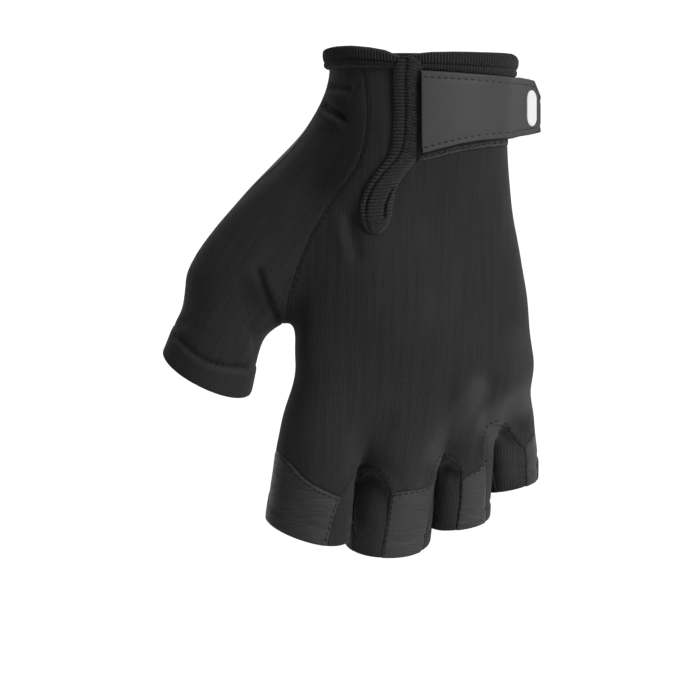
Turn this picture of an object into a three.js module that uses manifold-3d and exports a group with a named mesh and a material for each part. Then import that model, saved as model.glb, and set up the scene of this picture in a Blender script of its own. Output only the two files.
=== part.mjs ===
// Weightlifting glove for the left hand, fingerless, in its worn form.
// Millimetres. +Z runs up the forearm, +X to the little-finger side, -Y out of the back of the hand.
// The origin is the middle of the wrist opening.
import * as THREE from "three";
import { mergeVertices } from "three/addons/utils/BufferGeometryUtils.js";
import Module from "manifold-3d";

const wasm = await Module();
wasm.setup();

// ---- sizes ---------------------------------------------------------------
const WALL = 1.8;          // cloth and leather wall
const SEAM = 0.3;         // gap between neighbouring pieces
const CELL = 8.2;          // grid of the palm and thumb body
const SIDES = 14;          // sides of a finger sleeve
const WRIST_TOP = 1.6;     // raw upper edge of the glove body
const FINGER_GAP = 0.7;    // slit between two finger sleeves
const SLIT_WIDTH = 1.0;    // closed slit at the back of the wrist
const BINDING = { out: 2.4, top: 3.6, lip: 0.6 };
const TAPE = { low: 0.5, high: 2.1 };
const STRAP = { low: 2.7, high: 4.2, onBackTo: 26.5, columns: 5 };
const PATCH = { high: 0.9, half: 5.4, radius: 2.6, z: -15.6 };

// ---- tables --------------------------------------------------------------
// palm sections: height, left and right reach seen from the back, half depth, middle y, turn in degrees, squareness
const PALM = [
  { z:   14, left: -31.0, right: 31.0, depth: 21.5, y:  1.0, turn: 13, square: 2.15 },
  { z:    2, left: -30.0, right: 30.5, depth: 21.5, y:  1.0, turn: 13, square: 2.15 },
  { z:   -6, left: -29.2, right: 29.5, depth: 21.0, y:  1.0, turn: 13, square: 2.20 },
  { z:  -26, left: -29.5, right: 28.8, depth: 20.0, y:  1.0, turn: 14, square: 2.25 },
  { z:  -42, left: -32.0, right: 29.4, depth: 19.0, y:  1.0, turn: 15, square: 2.30 },
  { z:  -58, left: -36.0, right: 32.0, depth: 18.0, y:  1.0, turn: 16, square: 2.35 },
  { z:  -74, left: -39.5, right: 34.2, depth: 17.2, y:  0.5, turn: 17, square: 2.40 },
  { z:  -92, left: -41.4, right: 35.6, depth: 16.6, y:  0.5, turn: 18, square: 2.45 },
  { z: -108, left: -41.8, right: 37.2, depth: 15.6, y:  1.5, turn: 19, square: 2.45 },
  { z: -120, left: -43.5, right: 39.4, depth: 13.6, y:  4.5, turn: 20, square: 2.30 },
  { z: -136, left: -45.0, right: 39.0, depth: 10.0, y: 10.0, turn: 21, square: 2.10 },
];
// lower limit of the palm where the fingers part
const WEB = [
  { x: -60, z: -112 }, { x: -45, z: -122 }, { x: -30, z: -131 }, { x: -16.5, z: -135.5 }, { x: -5, z: -134 },
  { x: 7, z: -131.5 }, { x: 16, z: -128 }, { x: 25, z: -122.5 }, { x: 34, z: -114 }, { x: 45, z: -100 },
];
// thumb sleeve sections: way along its axis, outer and inner side, middle depth, half depth
const THUMB_START = [-14, 3, -8];
const THUMB_AXIS = [-0.5026, 0, -0.8645];
const THUMB = [
  { way:   0.0, outer:  -9.0, inner:  8.0, y: 0.0, depth: 12.0 },
  { way:  19.3, outer: -13.2, inner: 13.0, y: 0.6, depth: 15.0 },
  { way:  29.5, outer: -14.6, inner: 16.0, y: 0.8, depth: 15.8 },
  { way:  40.7, outer: -17.0, inner: 18.5, y: 1.2, depth: 16.2 },
  { way:  53.3, outer: -20.4, inner: 19.0, y: 2.4, depth: 16.2 },
  { way:  69.4, outer: -23.6, inner: 15.0, y: 3.8, depth: 15.8 },
  { way:  80.0, outer: -24.0, inner: 11.5, y: 5.0, depth: 15.0 },
  { way:  86.0, outer: -23.2, inner:  9.8, y: 5.4, depth: 14.6 },
  { way:  91.4, outer: -20.9, inner:  9.0, y: 5.8, depth: 14.2 },
  { way:  96.0, outer: -19.2, inner: 10.2, y: 6.2, depth: 14.0 },
  { way: 103.0, outer: -18.6, inner: 12.6, y: 6.6, depth: 13.8 },
  { way: 111.0, outer: -17.5, inner: 14.9, y: 7.0, depth: 13.8 },
  { way: 128.0, outer: -17.0, inner: 15.0, y: 7.4, depth: 13.6 },
];
const THUMB_END = { at: [-70.6, -4.0, -102.6], slope: [-0.50, 0.45] };
// finger sleeves: knuckle, middle of the open end, slope of the open end along x and y, sections
const FINGERS = {
  index:  { from: [-32.0, -8.0, -112.0], to: [-37.6, -4.0, -154.3], slope: [-0.306, 0.37],
    rows: [{ at: -0.30, a: 3.0, b: 3.5 }, { at: -0.05, a: 8.5, b: 9.0 }, { at: 0.25, a: 12.4, b: 12.2 }, { at: 0.6, a: 13.6, b: 12.6 }, { at: 1.0, a: 14.0, b: 12.8 }, { at: 1.25, a: 14.0, b: 13.0 }] },
  middle: { from: [-5.5, -2.0, -112.0], to: [-10.8, 11.0, -159.4], slope: [0.0, 0.47],
    rows: [{ at: -0.30, a: 3.0, b: 3.5 }, { at: -0.05, a: 8.5, b: 9.0 }, { at: 0.25, a: 12.4, b: 12.0 }, { at: 0.6, a: 13.6, b: 12.6 }, { at: 1.0, a: 14.0, b: 12.6 }, { at: 1.25, a: 14.0, b: 12.8 }] },
  ring:   { from: [15.5, 6.0, -110.0], to: [12.4, 20.5, -152.8], slope: [0.12, 0.30],
    rows: [{ at: -0.30, a: 2.5, b: 3.0 }, { at: -0.05, a: 6.5, b: 7.0 }, { at: 0.25, a: 9.8, b: 10.6 }, { at: 0.6, a: 10.6, b: 11.2 }, { at: 1.0, a: 11.0, b: 11.4 }, { at: 1.25, a: 11.0, b: 11.5 }] },
  little: { from: [27.0, 15.0, -104.0], to: [28.2, 31.0, -140.6], slope: [0.21, 0.20],
    rows: [{ at: -0.30, a: 2.0, b: 2.5 }, { at: -0.05, a: 5.5, b: 6.0 }, { at: 0.30, a: 9.2, b: 9.8 }, { at: 0.6, a: 9.9, b: 10.4 }, { at: 1.0, a: 9.9, b: 10.4 }, { at: 1.25, a: 9.9, b: 10.4 }] },
};
const ORDER = ["index", "middle", "ring", "little"];
// border between the back and the palm leather: y at five places across, by height
const BORDER_X = [-95, -58, -47, 0, 46];
const BORDER = [
  { z:   15, y: [ -6, -6,  -9,   1, 11.5] },
  { z:  -24, y: [ -3, -3,  -9,   1, 12] },
  { z:  -43, y: [ -1, -2,  -9,   1, 13] },
  { z:  -68, y: [ -2, -3,  -9,   1, 14] },
  { z:  -84, y: [ -4, -5, -10,   1, 15] },
  { z: -100, y: [ -5, -6, -13.5, 2, 17] },
  { z: -125, y: [ -6, -8, -11.5, 8, 25] },
  { z: -180, y: [ -6, -7, -7.5, 16, 38] },
];
// seams on the back, as x and z; 1 marks the points over the gap between two fingers
const SEAMS = {
  thumb: [[-20.8, 8], [-19.6, -2], [-18.2, -10.2], [-17.8, -17.8], [-18.8, -27.1], [-21.8, -35.6], [-27.1, -42.9], [-32.3, -50.5], [-36.6, -58.1], [-39.9, -65.7], [-42.2, -72.6], [-43.9, -78.5], [-44.6, -83]],
  index_cap_top: [[-53, -126.4], [-49.8, -127.4], [-46.2, -129.7], [-43.6, -132.7], [-38.3, -138.6], [-31.4, -141.9], [-26.1, -144.4]],
  index_middle: [[-33.0, -169], [-30.7, -159.4], [-28.1, -149.5], [-26.1, -144.5], [-24.1, -142.2], [-21.4, -137.9, 1], [-19.1, -135.0, 1], [-16.5, -134.0, 1], [-13.2, -135.6, 1], [-11.2, -139.9], [-9.9, -142.9], [-10.6, -148.5], [-11.9, -156.8], [-13.2, -164.7], [-14.2, -171]],
  middle_cap_top: [[-9.9, -142.9], [-6.3, -142.4], [-2.6, -141.9], [1.7, -141.1], [4.4, -139.1]],
  middle_ring: [[-2.0, -171], [-0.7, -165.7], [0.3, -161], [2.6, -148.5], [4.0, -139.3], [4.8, -134.3], [6.6, -130.6, 1], [8.6, -129.0, 1], [11.2, -130.6, 1], [12.9, -135.3], [13.2, -137.9], [12.9, -145.2], [11.6, -155.4], [10.8, -165]],
  ring_cap_top: [[13.2, -137.9], [15.5, -137], [17.8, -136], [20.0, -133.7], [20.9, -131.7]],
  ring_little: [[20.3, -165], [20.6, -157.1], [20.8, -145.2], [20.9, -138.6], [20.8, -131.7], [21.0, -126.1], [21.8, -121.8, 1], [23.4, -118.6, 1], [25.4, -117.5, 1], [28.1, -118.8, 1], [30.0, -122.8], [32.0, -125.4], [33.8, -128], [34.4, -132], [34.4, -137], [34.2, -142.2], [34.0, -153]],
  little_cap_top: [[33.8, -128], [35.5, -125.4], [37.0, -123.1], [38.6, -120.1], [41, -115]],
};
const SEAM_STEP = { thumb: 8, index_cap_top: 5, index_middle: 4, middle_cap_top: 5, middle_ring: 4, ring_cap_top: 5, ring_little: 4, little_cap_top: 4 };
const SEAM_CUT = { out: 1.6, into: 3.6, deep: 18, past: 4 };
// the slit at the back of the wrist, and the ribbed tape round its edge: x, z, width
const SLIT = [[-5.3, 6], [-5.3, -13.2], [-5.3, -21.4], [-5.4, -29], [-8.0, -36], [-10.6, -41.5], [-12.2, -46.5], [-12.4, -51]];
const TAPE_LEFT = [
  { x: -5.4, z:  -4.9, width: 7.2 }, { x: -5.3, z: -13.2, width: 7.8 }, { x: -5.3, z: -21.4, width: 8.0 }, { x: -5.4, z: -28.2, width: 8.2 },
  { x: -7.6, z: -33.4, width: 7.6 }, { x: -11.6, z: -37.4, width: 7.2 }, { x: -14.4, z: -41.4, width: 7.2 }, { x: -16.0, z: -46.2, width: 7.2 },
];
const TAPE_RIGHT = [
  { x: -10.6, z: -46.2, width: 3.2 }, { x: -9.2, z: -42.4, width: 3.6 }, { x: -6.2, z: -38.4, width: 4.2 }, { x: -3.0, z: -34.6, width: 4.4 }, { x: -0.6, z: -31.0, width: 3.6 },
];
const TAPE_BEND = { x: -14.3, z: -47.6, half: 5.3, drop: 8.6 };
// wrist strap: reach along x, upper and lower edge; past the wrist it runs straight on
const STRAP_ROWS = [
  { run:  0.0, top:  -4.2, low: -31.6 }, { run:  6.0, top:  -4.5, low: -30.0 }, { run: 12.0, top:  -4.8, low: -28.2 },
  { run: 18.0, top:  -5.1, low: -27.0 }, { run: 24.0, top:  -5.4, low: -26.2 }, { run: 29.0, top:  -5.6, low: -25.6 },
  { run: 35.0, top:  -5.8, low: -25.2 }, { run: 42.0, top:  -6.2, low: -24.8 }, { run: 46.5, top:  -6.8, low: -24.2 }, { run: 50.5, top: -11.4, low: -23.2 },
];
const STRAP_START = -0.8;
const PAD_ROWS = [
  { x:  1.8, top: -7.4, low: -32.4 }, { x: 8.0, top: -7.6, low: -30.6 }, { x: 14.0, top: -7.8, low: -29.0 }, { x: 20.0, top: -8.0, low: -28.0 }, { x: 25.5, top: -8.2, low: -27.2 },
];

// ---- fields: negative inside the glove ------------------------------------
const smin = (a, b, k) => { const h = Math.max(k - Math.abs(a - b), 0) / k; return Math.min(a, b) - h * h * k / 4; };
const smax = (a, b, k) => -smin(-a, -b, k);

// smooth curve through the rows of a table
function column(ts, vs) {
  const n = ts.length;
  const slope = ts.map((t, i) => {
    if (i === 0) return (vs[1] - vs[0]) / (ts[1] - ts[0]);
    if (i === n - 1) return (vs[n - 1] - vs[n - 2]) / (ts[n - 1] - ts[n - 2]);
    const h0 = ts[i] - ts[i - 1], h1 = ts[i + 1] - ts[i];
    return (h0 * (vs[i + 1] - vs[i]) / h1 + h1 * (vs[i] - vs[i - 1]) / h0) / (h0 + h1);
  });
  return (t) => {
    t = Math.min(Math.max(t, ts[0]), ts[n - 1]);
    let i = 0;
    while (i < n - 2 && t > ts[i + 1]) i++;
    const h = ts[i + 1] - ts[i], s = (t - ts[i]) / h, s2 = s * s, s3 = s2 * s;
    return (2 * s3 - 3 * s2 + 1) * vs[i] + (s3 - 2 * s2 + s) * h * slope[i] + (3 * s2 - 2 * s3) * vs[i + 1] + (s3 - s2) * h * slope[i + 1];
  };
}

const dot = (a, b) => a[0] * b[0] + a[1] * b[1] + a[2] * b[2];
const cross = (a, b) => [a[1] * b[2] - a[2] * b[1], a[2] * b[0] - a[0] * b[2], a[0] * b[1] - a[1] * b[0]];
const sub = (a, b) => [a[0] - b[0], a[1] - b[1], a[2] - b[2]];
const along = (p, d, s) => [p[0] + d[0] * s, p[1] + d[1] * s, p[2] + d[2] * s];
const unit = (a) => { const l = Math.hypot(...a); return [a[0] / l, a[1] / l, a[2] / l]; };

// a run of rounded sections along a straight axis; rows of way, middle u, middle v, half u, half v, turn, squareness
class Sections {
  constructor(origin, axis, right, rows) {
    this.o = origin; this.w = unit(axis);
    const r = sub(right, along([0, 0, 0], this.w, dot(right, this.w)));
    this.u = unit(r); this.v = cross(this.w, this.u);
    const ts = rows.map((row) => row[0]);
    this.t0 = ts[0]; this.t1 = ts[ts.length - 1];
    this.cols = [1, 2, 3, 4, 5, 6].map((c) => column(ts, rows.map((row) => row[c])));
  }
  at(p) {
    const q = sub(p, this.o), t = dot(q, this.w);
    const [cu, cv, A, B, turn, n] = this.cols.map((f) => f(t));
    const a = dot(q, this.u) - cu, b = dot(q, this.v) - cv;
    const c = Math.cos(turn * Math.PI / 180), s = Math.sin(turn * Math.PI / 180);
    const ax = Math.abs(a * c + b * s) / A, ay = Math.abs(-a * s + b * c) / B;
    const r = Math.pow(Math.pow(ax, n) + Math.pow(ay, n) + 1e-12, 1 / n);
    const gx = Math.pow(ax, n - 1) / A, gy = Math.pow(ay, n - 1) / B;
    const k = Math.pow(r, n - 1) / Math.sqrt(gx * gx + gy * gy + 1e-12);
    const f = (r - 1) * Math.min(Math.max(k, Math.min(A, B) * 0.8), Math.max(A, B) * 1.2);
    return smax(smax(f, t - this.t1, 6), this.t0 - t, 6);
  }
}
const palm = new Sections([0, 0, 0], [0, 0, -1], [1, 0, 0], PALM.map((r) => {
  const half = (r.right - r.left) / 2, c = Math.cos(r.turn * Math.PI / 180), s = Math.sin(r.turn * Math.PI / 180);
  const across = Math.sqrt(Math.max(half * half - (r.depth * s) ** 2, 1)) / c;
  return [-r.z, (r.left + r.right) / 2, -r.y, across, r.depth, -r.turn, r.square];
}));
const thumb = new Sections(THUMB_START, THUMB_AXIS, [1, 0, 0],
  THUMB.map((r) => [r.way, (r.outer + r.inner) / 2, r.y, (r.inner - r.outer) / 2, r.depth, 0, 2.1]));
const sleeves = Object.fromEntries(ORDER.map((name) => {
  const f = FINGERS[name], w = sub(f.to, f.from), length = Math.hypot(...w);
  return [name, new Sections(f.from, w, [1, 0, 0], f.rows.map((r) => [r.at * length, 0, 0, r.a, r.b, 0, 2.1]))];
}));
const webLevel = column(WEB.map((r) => r.x), WEB.map((r) => r.z));
const bodyField = (p) => smin(smax(palm.at(p), webLevel(p[0]) - p[2], 12), thumb.at(p), 9);
const handField = (p) => {
  const f0 = smax(palm.at(p), webLevel(p[0]) - p[2], 12);
  let out = f0;
  for (const name of ORDER) out = Math.min(out, smin(f0, sleeves[name].at(p), 4));
  return smin(out, thumb.at(p), 9);
};
function slopeOf(field, p) {
  const h = 0.2;
  return unit([0, 1, 2].map((i) => {
    const a = [...p], b = [...p]; a[i] += h; b[i] -= h;
    return field(a) - field(b);
  }));
}

// ---- solids ----------------------------------------------------------------
function solid(positions, triangles) {
  let g = new THREE.BufferGeometry();
  g.setAttribute("position", new THREE.BufferAttribute(Float32Array.from(positions), 3));
  g.setIndex(triangles);
  return fromGeometry(g);
}
function fromGeometry(g) {
  g.deleteAttribute("normal"); g.deleteAttribute("uv");
  g = mergeVertices(g, 1e-4);
  return new wasm.Manifold(new wasm.Mesh({
    numProp: 3, vertProperties: Float32Array.from(g.attributes.position.array), triVerts: Uint32Array.from(g.index.array),
  }));
}

// closed surface of a field on a grid, with its points drawn onto the surface
function surface(field, low, high, cell) {
  const n = low.map((l, i) => Math.ceil((high[i] - l) / cell) + 1);
  const value = new Float64Array(n[0] * n[1] * n[2]);
  const id = (i, j, k) => (k * n[1] + j) * n[0] + i;
  for (let k = 0; k < n[2]; k++) for (let j = 0; j < n[1]; j++) for (let i = 0; i < n[0]; i++)
    value[id(i, j, k)] = field([low[0] + i * cell, low[1] + j * cell, low[2] + k * cell]);
  const points = [], place = new Map(), faces = [];
  for (let k = 0; k < n[2] - 1; k++) for (let j = 0; j < n[1] - 1; j++) for (let i = 0; i < n[0] - 1; i++) {
    const sum = [0, 0, 0]; let count = 0;
    for (let e = 0; e < 12; e++) {
      const axis = e >> 2, s = e & 1, t = (e >> 1) & 1;
      const a = [0, 0, 0]; a[(axis + 1) % 3] = s; a[(axis + 2) % 3] = t;
      const b = [...a]; b[axis] = 1;
      const va = value[id(i + a[0], j + a[1], k + a[2])], vb = value[id(i + b[0], j + b[1], k + b[2])];
      if (va < 0 === vb < 0) continue;
      const r = va / (va - vb);
      for (let c = 0; c < 3; c++) sum[c] += a[c] + (b[c] - a[c]) * r;
      count++;
    }
    if (!count) continue;
    let p = sum.map((v, c) => low[c] + ([i, j, k][c] + v / count) * cell);
    for (let step = 0; step < 3; step++) p = along(p, slopeOf(field, p), -field(p) * 0.8);
    p = p.map((v, c) => Math.min(Math.max(v, low[c] + ([i, j, k][c] + 0.04) * cell), low[c] + ([i, j, k][c] + 0.96) * cell));
    place.set(id(i, j, k), points.length / 3);
    points.push(...p);
  }
  for (let k = 1; k < n[2] - 1; k++) for (let j = 1; j < n[1] - 1; j++) for (let i = 1; i < n[0] - 1; i++) {
    for (let axis = 0; axis < 3; axis++) {
      const b = [i, j, k]; b[axis]++;
      const inA = value[id(i, j, k)] < 0, inB = value[id(...b)] < 0;
      if (inA === inB) continue;
      const u = (axis + 1) % 3, v = (axis + 2) % 3;
      const cellAt = (du, dv) => { const c = [i, j, k]; c[u] += du; c[v] += dv; return place.get(id(...c)); };
      const quad = [cellAt(-1, -1), cellAt(0, -1), cellAt(0, 0), cellAt(-1, 0)];
      if (!inA) quad.reverse();
      const d = (a, c) => Math.hypot(points[a * 3] - points[c * 3], points[a * 3 + 1] - points[c * 3 + 1], points[a * 3 + 2] - points[c * 3 + 2]);
      if (d(quad[0], quad[2]) < d(quad[1], quad[3])) faces.push(quad[0], quad[1], quad[2], quad[0], quad[2], quad[3]);
      else faces.push(quad[0], quad[1], quad[3], quad[1], quad[2], quad[3]);
    }
  }
  return solid(points, faces);
}

// closed solid between rings of equal length
function loft(rings) {
  const n = rings[0].length, points = rings.flat(2), faces = [];
  for (let r = 0; r < rings.length - 1; r++) for (let i = 0; i < n; i++) {
    const j = (i + 1) % n, a = r * n + i, b = r * n + j;
    faces.push(a, b, b + n, a, b + n, a + n);
  }
  for (let i = 1; i < n - 1; i++) {
    faces.push(0, i + 1, i);
    const s = (rings.length - 1) * n;
    faces.push(s, s + i, s + i + 1);
  }
  return solid(points, faces);
}

// closed sheet between two grids of points, low and high
function sheet(low, high) {
  const rows = low.length, cols = low[0].length, n = rows * cols, faces = [];
  const q = (a, b, c, d) => faces.push(a, b, c, a, c, d);
  for (let i = 0; i < rows - 1; i++) for (let j = 0; j < cols - 1; j++) {
    const a = i * cols + j, b = a + 1, c = a + cols + 1, d = a + cols;
    q(n + a, n + b, n + c, n + d); q(a, d, c, b);
  }
  for (let j = 0; j < cols - 1; j++) {
    const e = (rows - 1) * cols + j;
    q(j, j + 1, n + j + 1, n + j); q(e + 1, e, n + e, n + e + 1);
  }
  for (let i = 0; i < rows - 1; i++) {
    const a = i * cols, d = a + cols, b = a + cols - 1, c = b + cols;
    q(d, a, n + a, n + d); q(c, n + c, n + b, b);
  }
  const made = solid([...low.flat(2), ...high.flat(2)], faces);
  return made.volume() < 0 ? solid([...low.flat(2), ...high.flat(2)], faces.map((_, i) => faces[i - (i % 3) + [0, 2, 1][i % 3]])) : made;
}

// point of the back surface seen straight on at x and z, and the point h above it
function onBack(x, z) {
  let a = -60, b = a;
  while (handField([x, b, z]) > 0 && b < 60) { a = b; b += 1; }
  if (b >= 60) return null;
  for (let i = 0; i < 18; i++) { const m = (a + b) / 2; if (handField([x, m, z]) > 0) a = m; else b = m; }
  return [x, b, z];
}
function above(x, z, h) {
  const p = onBack(x, z);
  return along(p, slopeOf(handField, p), h);
}
// strip of a given width along points of x and z, between two heights over the back
function strip(path, width, low, high, columns = 2) {
  const lowRows = [], highRows = [];
  path.forEach((point, i) => {
    const [x, z] = point, before = path[Math.max(i - 1, 0)], after = path[Math.min(i + 1, path.length - 1)];
    const d = [after[0] - before[0], after[1] - before[1]], l = Math.hypot(...d), side = [-d[1] / l, d[0] / l];
    const w = typeof width === "number" ? width : width[i];
    const a = [], b = [];
    for (let c = 0; c < columns; c++) {
      const s = (c / (columns - 1) - 0.5) * w;
      const p = onBack(x + side[0] * s, z + side[1] * s);
      if (!p) { a.push(null); b.push(null); continue; }
      const n = slopeOf(handField, p);
      a.push(along(p, n, low)); b.push(along(p, n, high));
    }
    if (!a.includes(null)) { lowRows.push(a); highRows.push(b); }
  });
  return sheet(lowRows, highRows);
}
// points of a path no further apart than the step
function finer(path, step) {
  const out = [];
  for (let i = 0; i < path.length - 1; i++) {
    const n = Math.max(1, Math.ceil(Math.hypot(path[i + 1][0] - path[i][0], path[i + 1][1] - path[i][1]) / step));
    for (let k = 0; k < n; k++) out.push(path[i].map((v, c) => v + (path[i + 1][c] - v) * k / n));
  }
  out.push(path[path.length - 1]);
  return out;
}
// box of a given size whose own axes are the three directions
function turnedBox(size, at, x, y, z) {
  const g = new THREE.BoxGeometry(...size);
  const m = new THREE.Matrix4().makeBasis(new THREE.Vector3(...x), new THREE.Vector3(...y), new THREE.Vector3(...z));
  m.setPosition(...at); g.applyMatrix4(m);
  return fromGeometry(g);
}

// ---- the glove body ----------------------------------------------------------
// finger sleeve grown by an amount, closed on the slope of its open end, moved on by "past"
function sleeve(name, grow, past) {
  const f = FINGERS[name], w = sub(f.to, f.from), length = Math.hypot(...w), d = unit(w);
  const r = sub([1, 0, 0], along([0, 0, 0], d, d[0])), u = unit(r), v = cross(d, u);
  const A = column(f.rows.map((q) => q.at), f.rows.map((q) => q.a)), B = column(f.rows.map((q) => q.at), f.rows.map((q) => q.b));
  const normal = unit([-f.slope[0], -f.slope[1], 1]);
  const stations = [-0.16, 0.02, 0.2, 0.42, 0.68, 1];
  const rings = stations.map((s) => {
    const ring = [];
    for (let i = 0; i < SIDES; i++) {
      const a = i / SIDES * 2 * Math.PI, m = along(f.from, w, s);
      let p = along(along(m, u, Math.cos(a) * (A(s) + grow)), v, Math.sin(a) * (B(s) + grow));
      if (s === 1) p = along(p, d, dot(sub(f.to, p), normal) / dot(d, normal) + past);
      ring.push(p);
    }
    return ring;
  });
  return loft(rings);
}
// slit between two neighbouring sleeves, from the web to beyond the open ends
function dividerFrame(a, b) {
  const fa = FINGERS[a], fb = FINGERS[b];
  const wa = Math.abs(fa.rows[4].a), wb = Math.abs(fb.rows[4].a);
  const share = wa / (wa + wb);
  const from = fa.from.map((v, i) => v + (fb.from[i] - v) * share), to = fa.to.map((v, i) => v + (fb.to[i] - v) * share);
  const down = unit(sub(to, from));
  const between = unit(sub(fb.to, fa.to));
  const n = unit(sub(between, along([0, 0, 0], down, dot(between, down))));
  const across = cross(down, n);
  return { from, down, n, deep: across[1] < 0 ? across.map((v) => -v) : across };
}
function divider(a, b, width) {
  const { from, down, n } = dividerFrame(a, b);
  const top = { index: -134.0, middle: -129.5, ring: -118.5 }[a] + (width - FINGER_GAP) / 2 + 0.5;
  const start = along(from, down, (top - from[2]) / down[2]);
  const length = 48;
  return turnedBox([width, 90, length], along(start, down, length / 2), n, cross(down.map((v) => -v), n), down.map((v) => -v));
}
// thin cut along a seam, square to the surface, and deep into the gap between two fingers where marked
function seamCut(path, deep = [0, 1, 0]) {
  const rows = [];
  const seen = (q) => onBack(q[0], q[1]);
  const between = (a, b) => {
    let lo = a, hi = b;
    for (let i = 0; i < 14; i++) { const m = [(lo[0] + hi[0]) / 2, (lo[1] + hi[1]) / 2]; if (seen(m)) lo = m; else hi = m; }
    return lo;
  };
  path.forEach((q, i) => {
    const before = path[Math.max(i - 1, 0)], after = path[Math.min(i + 1, path.length - 1)];
    const d = unit([after[0] - before[0], 0, after[1] - before[1]]);
    if (!seen(q)) {
      if (i > 0 && seen(before)) rows.push({ p: seen(between(before, q)), d, last: true });
      if (i < path.length - 1 && seen(after) && !rows.length) rows.push({ p: seen(between(after, q)), d, first: true });
      return;
    }
    rows.push({ p: seen(q), d, deep: q[2] === 1 });
  });
  const made = rows.map((r) => {
    const n = slopeOf(handField, r.p), side = unit(cross(r.d, n));
    const front = along(r.p, r.deep ? deep : n, r.deep ? -3 : SEAM_CUT.out), behind = along(r.p, r.deep ? deep : n, r.deep ? SEAM_CUT.deep : -SEAM_CUT.into);
    return { ...r, front: [-0.5, 0.5].map((k) => along(front, side, k * SEAM)), behind: [-0.5, 0.5].map((k) => along(behind, side, k * SEAM)) };
  });
  const shifted = (r) => ({ front: r.front.map((q) => along(q, [0, 1, 0], SEAM_CUT.past)), behind: r.behind.map((q) => along(q, [0, 1, 0], SEAM_CUT.past)) });
  if (made[0].first) made.unshift(shifted(made[0]));
  if (made[made.length - 1].last) made.push(shifted(made[made.length - 1]));
  return sheet(made.map((r) => r.behind), made.map((r) => r.front));
}
// points of a seam no further apart than the step, each keeping the mark of the point before it
const seamPath = (name) => finer(SEAMS[name].map((q) => [q[0], q[1], q[2] ?? 0]), SEAM_STEP[name]).map((q) => [q[0], q[1], q[2] > 0.99 ? 1 : 0]);
const BOX_LOW = [-105, -42, -150], BOX_HIGH = [58, 48, 26];
const all = (solids) => solids.reduce((a, b) => a.add(b));
const largest = (m) => m.decompose().reduce((a, b) => (a.volume() > b.volume() ? a : b));
const outerBody = surface(bodyField, BOX_LOW, BOX_HIGH, CELL);
const innerBody = surface((p) => bodyField(p) + WALL, BOX_LOW, BOX_HIGH, CELL);
const pairs = [["index", "middle"], ["middle", "ring"], ["ring", "little"]];
const outer = all([outerBody, ...ORDER.map((n) => sleeve(n, 0, 0))]).subtract(all(pairs.map(([a, b]) => divider(a, b, FINGER_GAP))));
const inner = largest(all([innerBody, ...ORDER.map((n) => sleeve(n, -WALL, 6))]).subtract(all(pairs.map(([a, b]) => divider(a, b, FINGER_GAP + 2 * WALL)))));
const wristCut = turnedBox([200, 200, 60], [0, 0, WRIST_TOP + 30], [1, 0, 0], [0, 1, 0], [0, 0, 1]);
const tn = unit([-THUMB_END.slope[0], -THUMB_END.slope[1], 1]);
const tx = unit(cross([0, 1, 0], tn)), ty = cross(tn, tx);
const thumbCut = turnedBox([50, 60, 60], along(THUMB_END.at, tn, -30), tx, ty, tn);
const shell = outer.subtract(inner).subtract(wristCut).subtract(thumbCut);

// everything on the back side of the border, moved by "shift" along y; or on the palm side
function borderBlock(shift, far) {
  const near = [], away = [];
  for (const row of BORDER) {
    near.push(BORDER_X.map((x, i) => [x, row.y[i] + shift, row.z]));
    away.push(BORDER_X.map((x) => [x, far, row.z]));
  }
  return far < 0 ? sheet(away, near) : sheet(near, away);
}
const palmPanel = shell.intersect(borderBlock(SEAM / 2, 90));
let back = shell.intersect(borderBlock(-SEAM / 2, -90));
for (const name of Object.keys(SEAMS)) {
  const pair = pairs.find(([a, b]) => name === `${a}_${b}`);
  back = back.subtract(seamCut(seamPath(name), pair ? dividerFrame(...pair).deep : undefined));
}
// the thumb seam runs on round the web to the border
const webEnd = SEAMS.thumb[SEAMS.thumb.length - 1];
back = back.subtract(turnedBox([SEAM, 46, 22], [webEnd[0] - 0.45, -8, webEnd[1] - 4.5], [0.9939, 0, -0.1104], [0, 1, 0], [0.1104, 0, 0.9939]));
back = back.subtract(strip(finer(SLIT, 6), SLIT_WIDTH, -4, 2));

const pieces = back.decompose().filter((m) => m.volume() > 20);
const boxOf = (m) => {
  const p = m.getMesh().vertProperties, lo = [1e9, 1e9, 1e9], hi = [-1e9, -1e9, -1e9];
  for (let i = 0; i < p.length; i++) { lo[i % 3] = Math.min(lo[i % 3], p[i]); hi[i % 3] = Math.max(hi[i % 3], p[i]); }
  return [lo, hi];
};
// a representative x and z on each piece of the back
const MARKS = {
  back_panel: [5, -70], thumb_panel: [-58, -70], index_cap: [-36, -150], middle_cap: [-4, -152], ring_cap: [17, -147], little_cap: [36.6, -135],
  gusset_index_middle: [-14, -148], gusset_middle_ring: [9, -145], gusset_ring_little: [28, -134],
};
const named = {};
for (const [name, [x, z]] of Object.entries(MARKS)) {
  const p = above(x, z, -WALL / 2);
  const probe = turnedBox([0.5, 0.5, 0.5], p, [1, 0, 0], [0, 1, 0], [0, 0, 1]);
  const found = pieces.filter((m) => m.intersect(probe).volume() > 0.01);
  if (!found.length) throw new Error(`nothing at ${name}`);
  named[name] = found[0];
}

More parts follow.
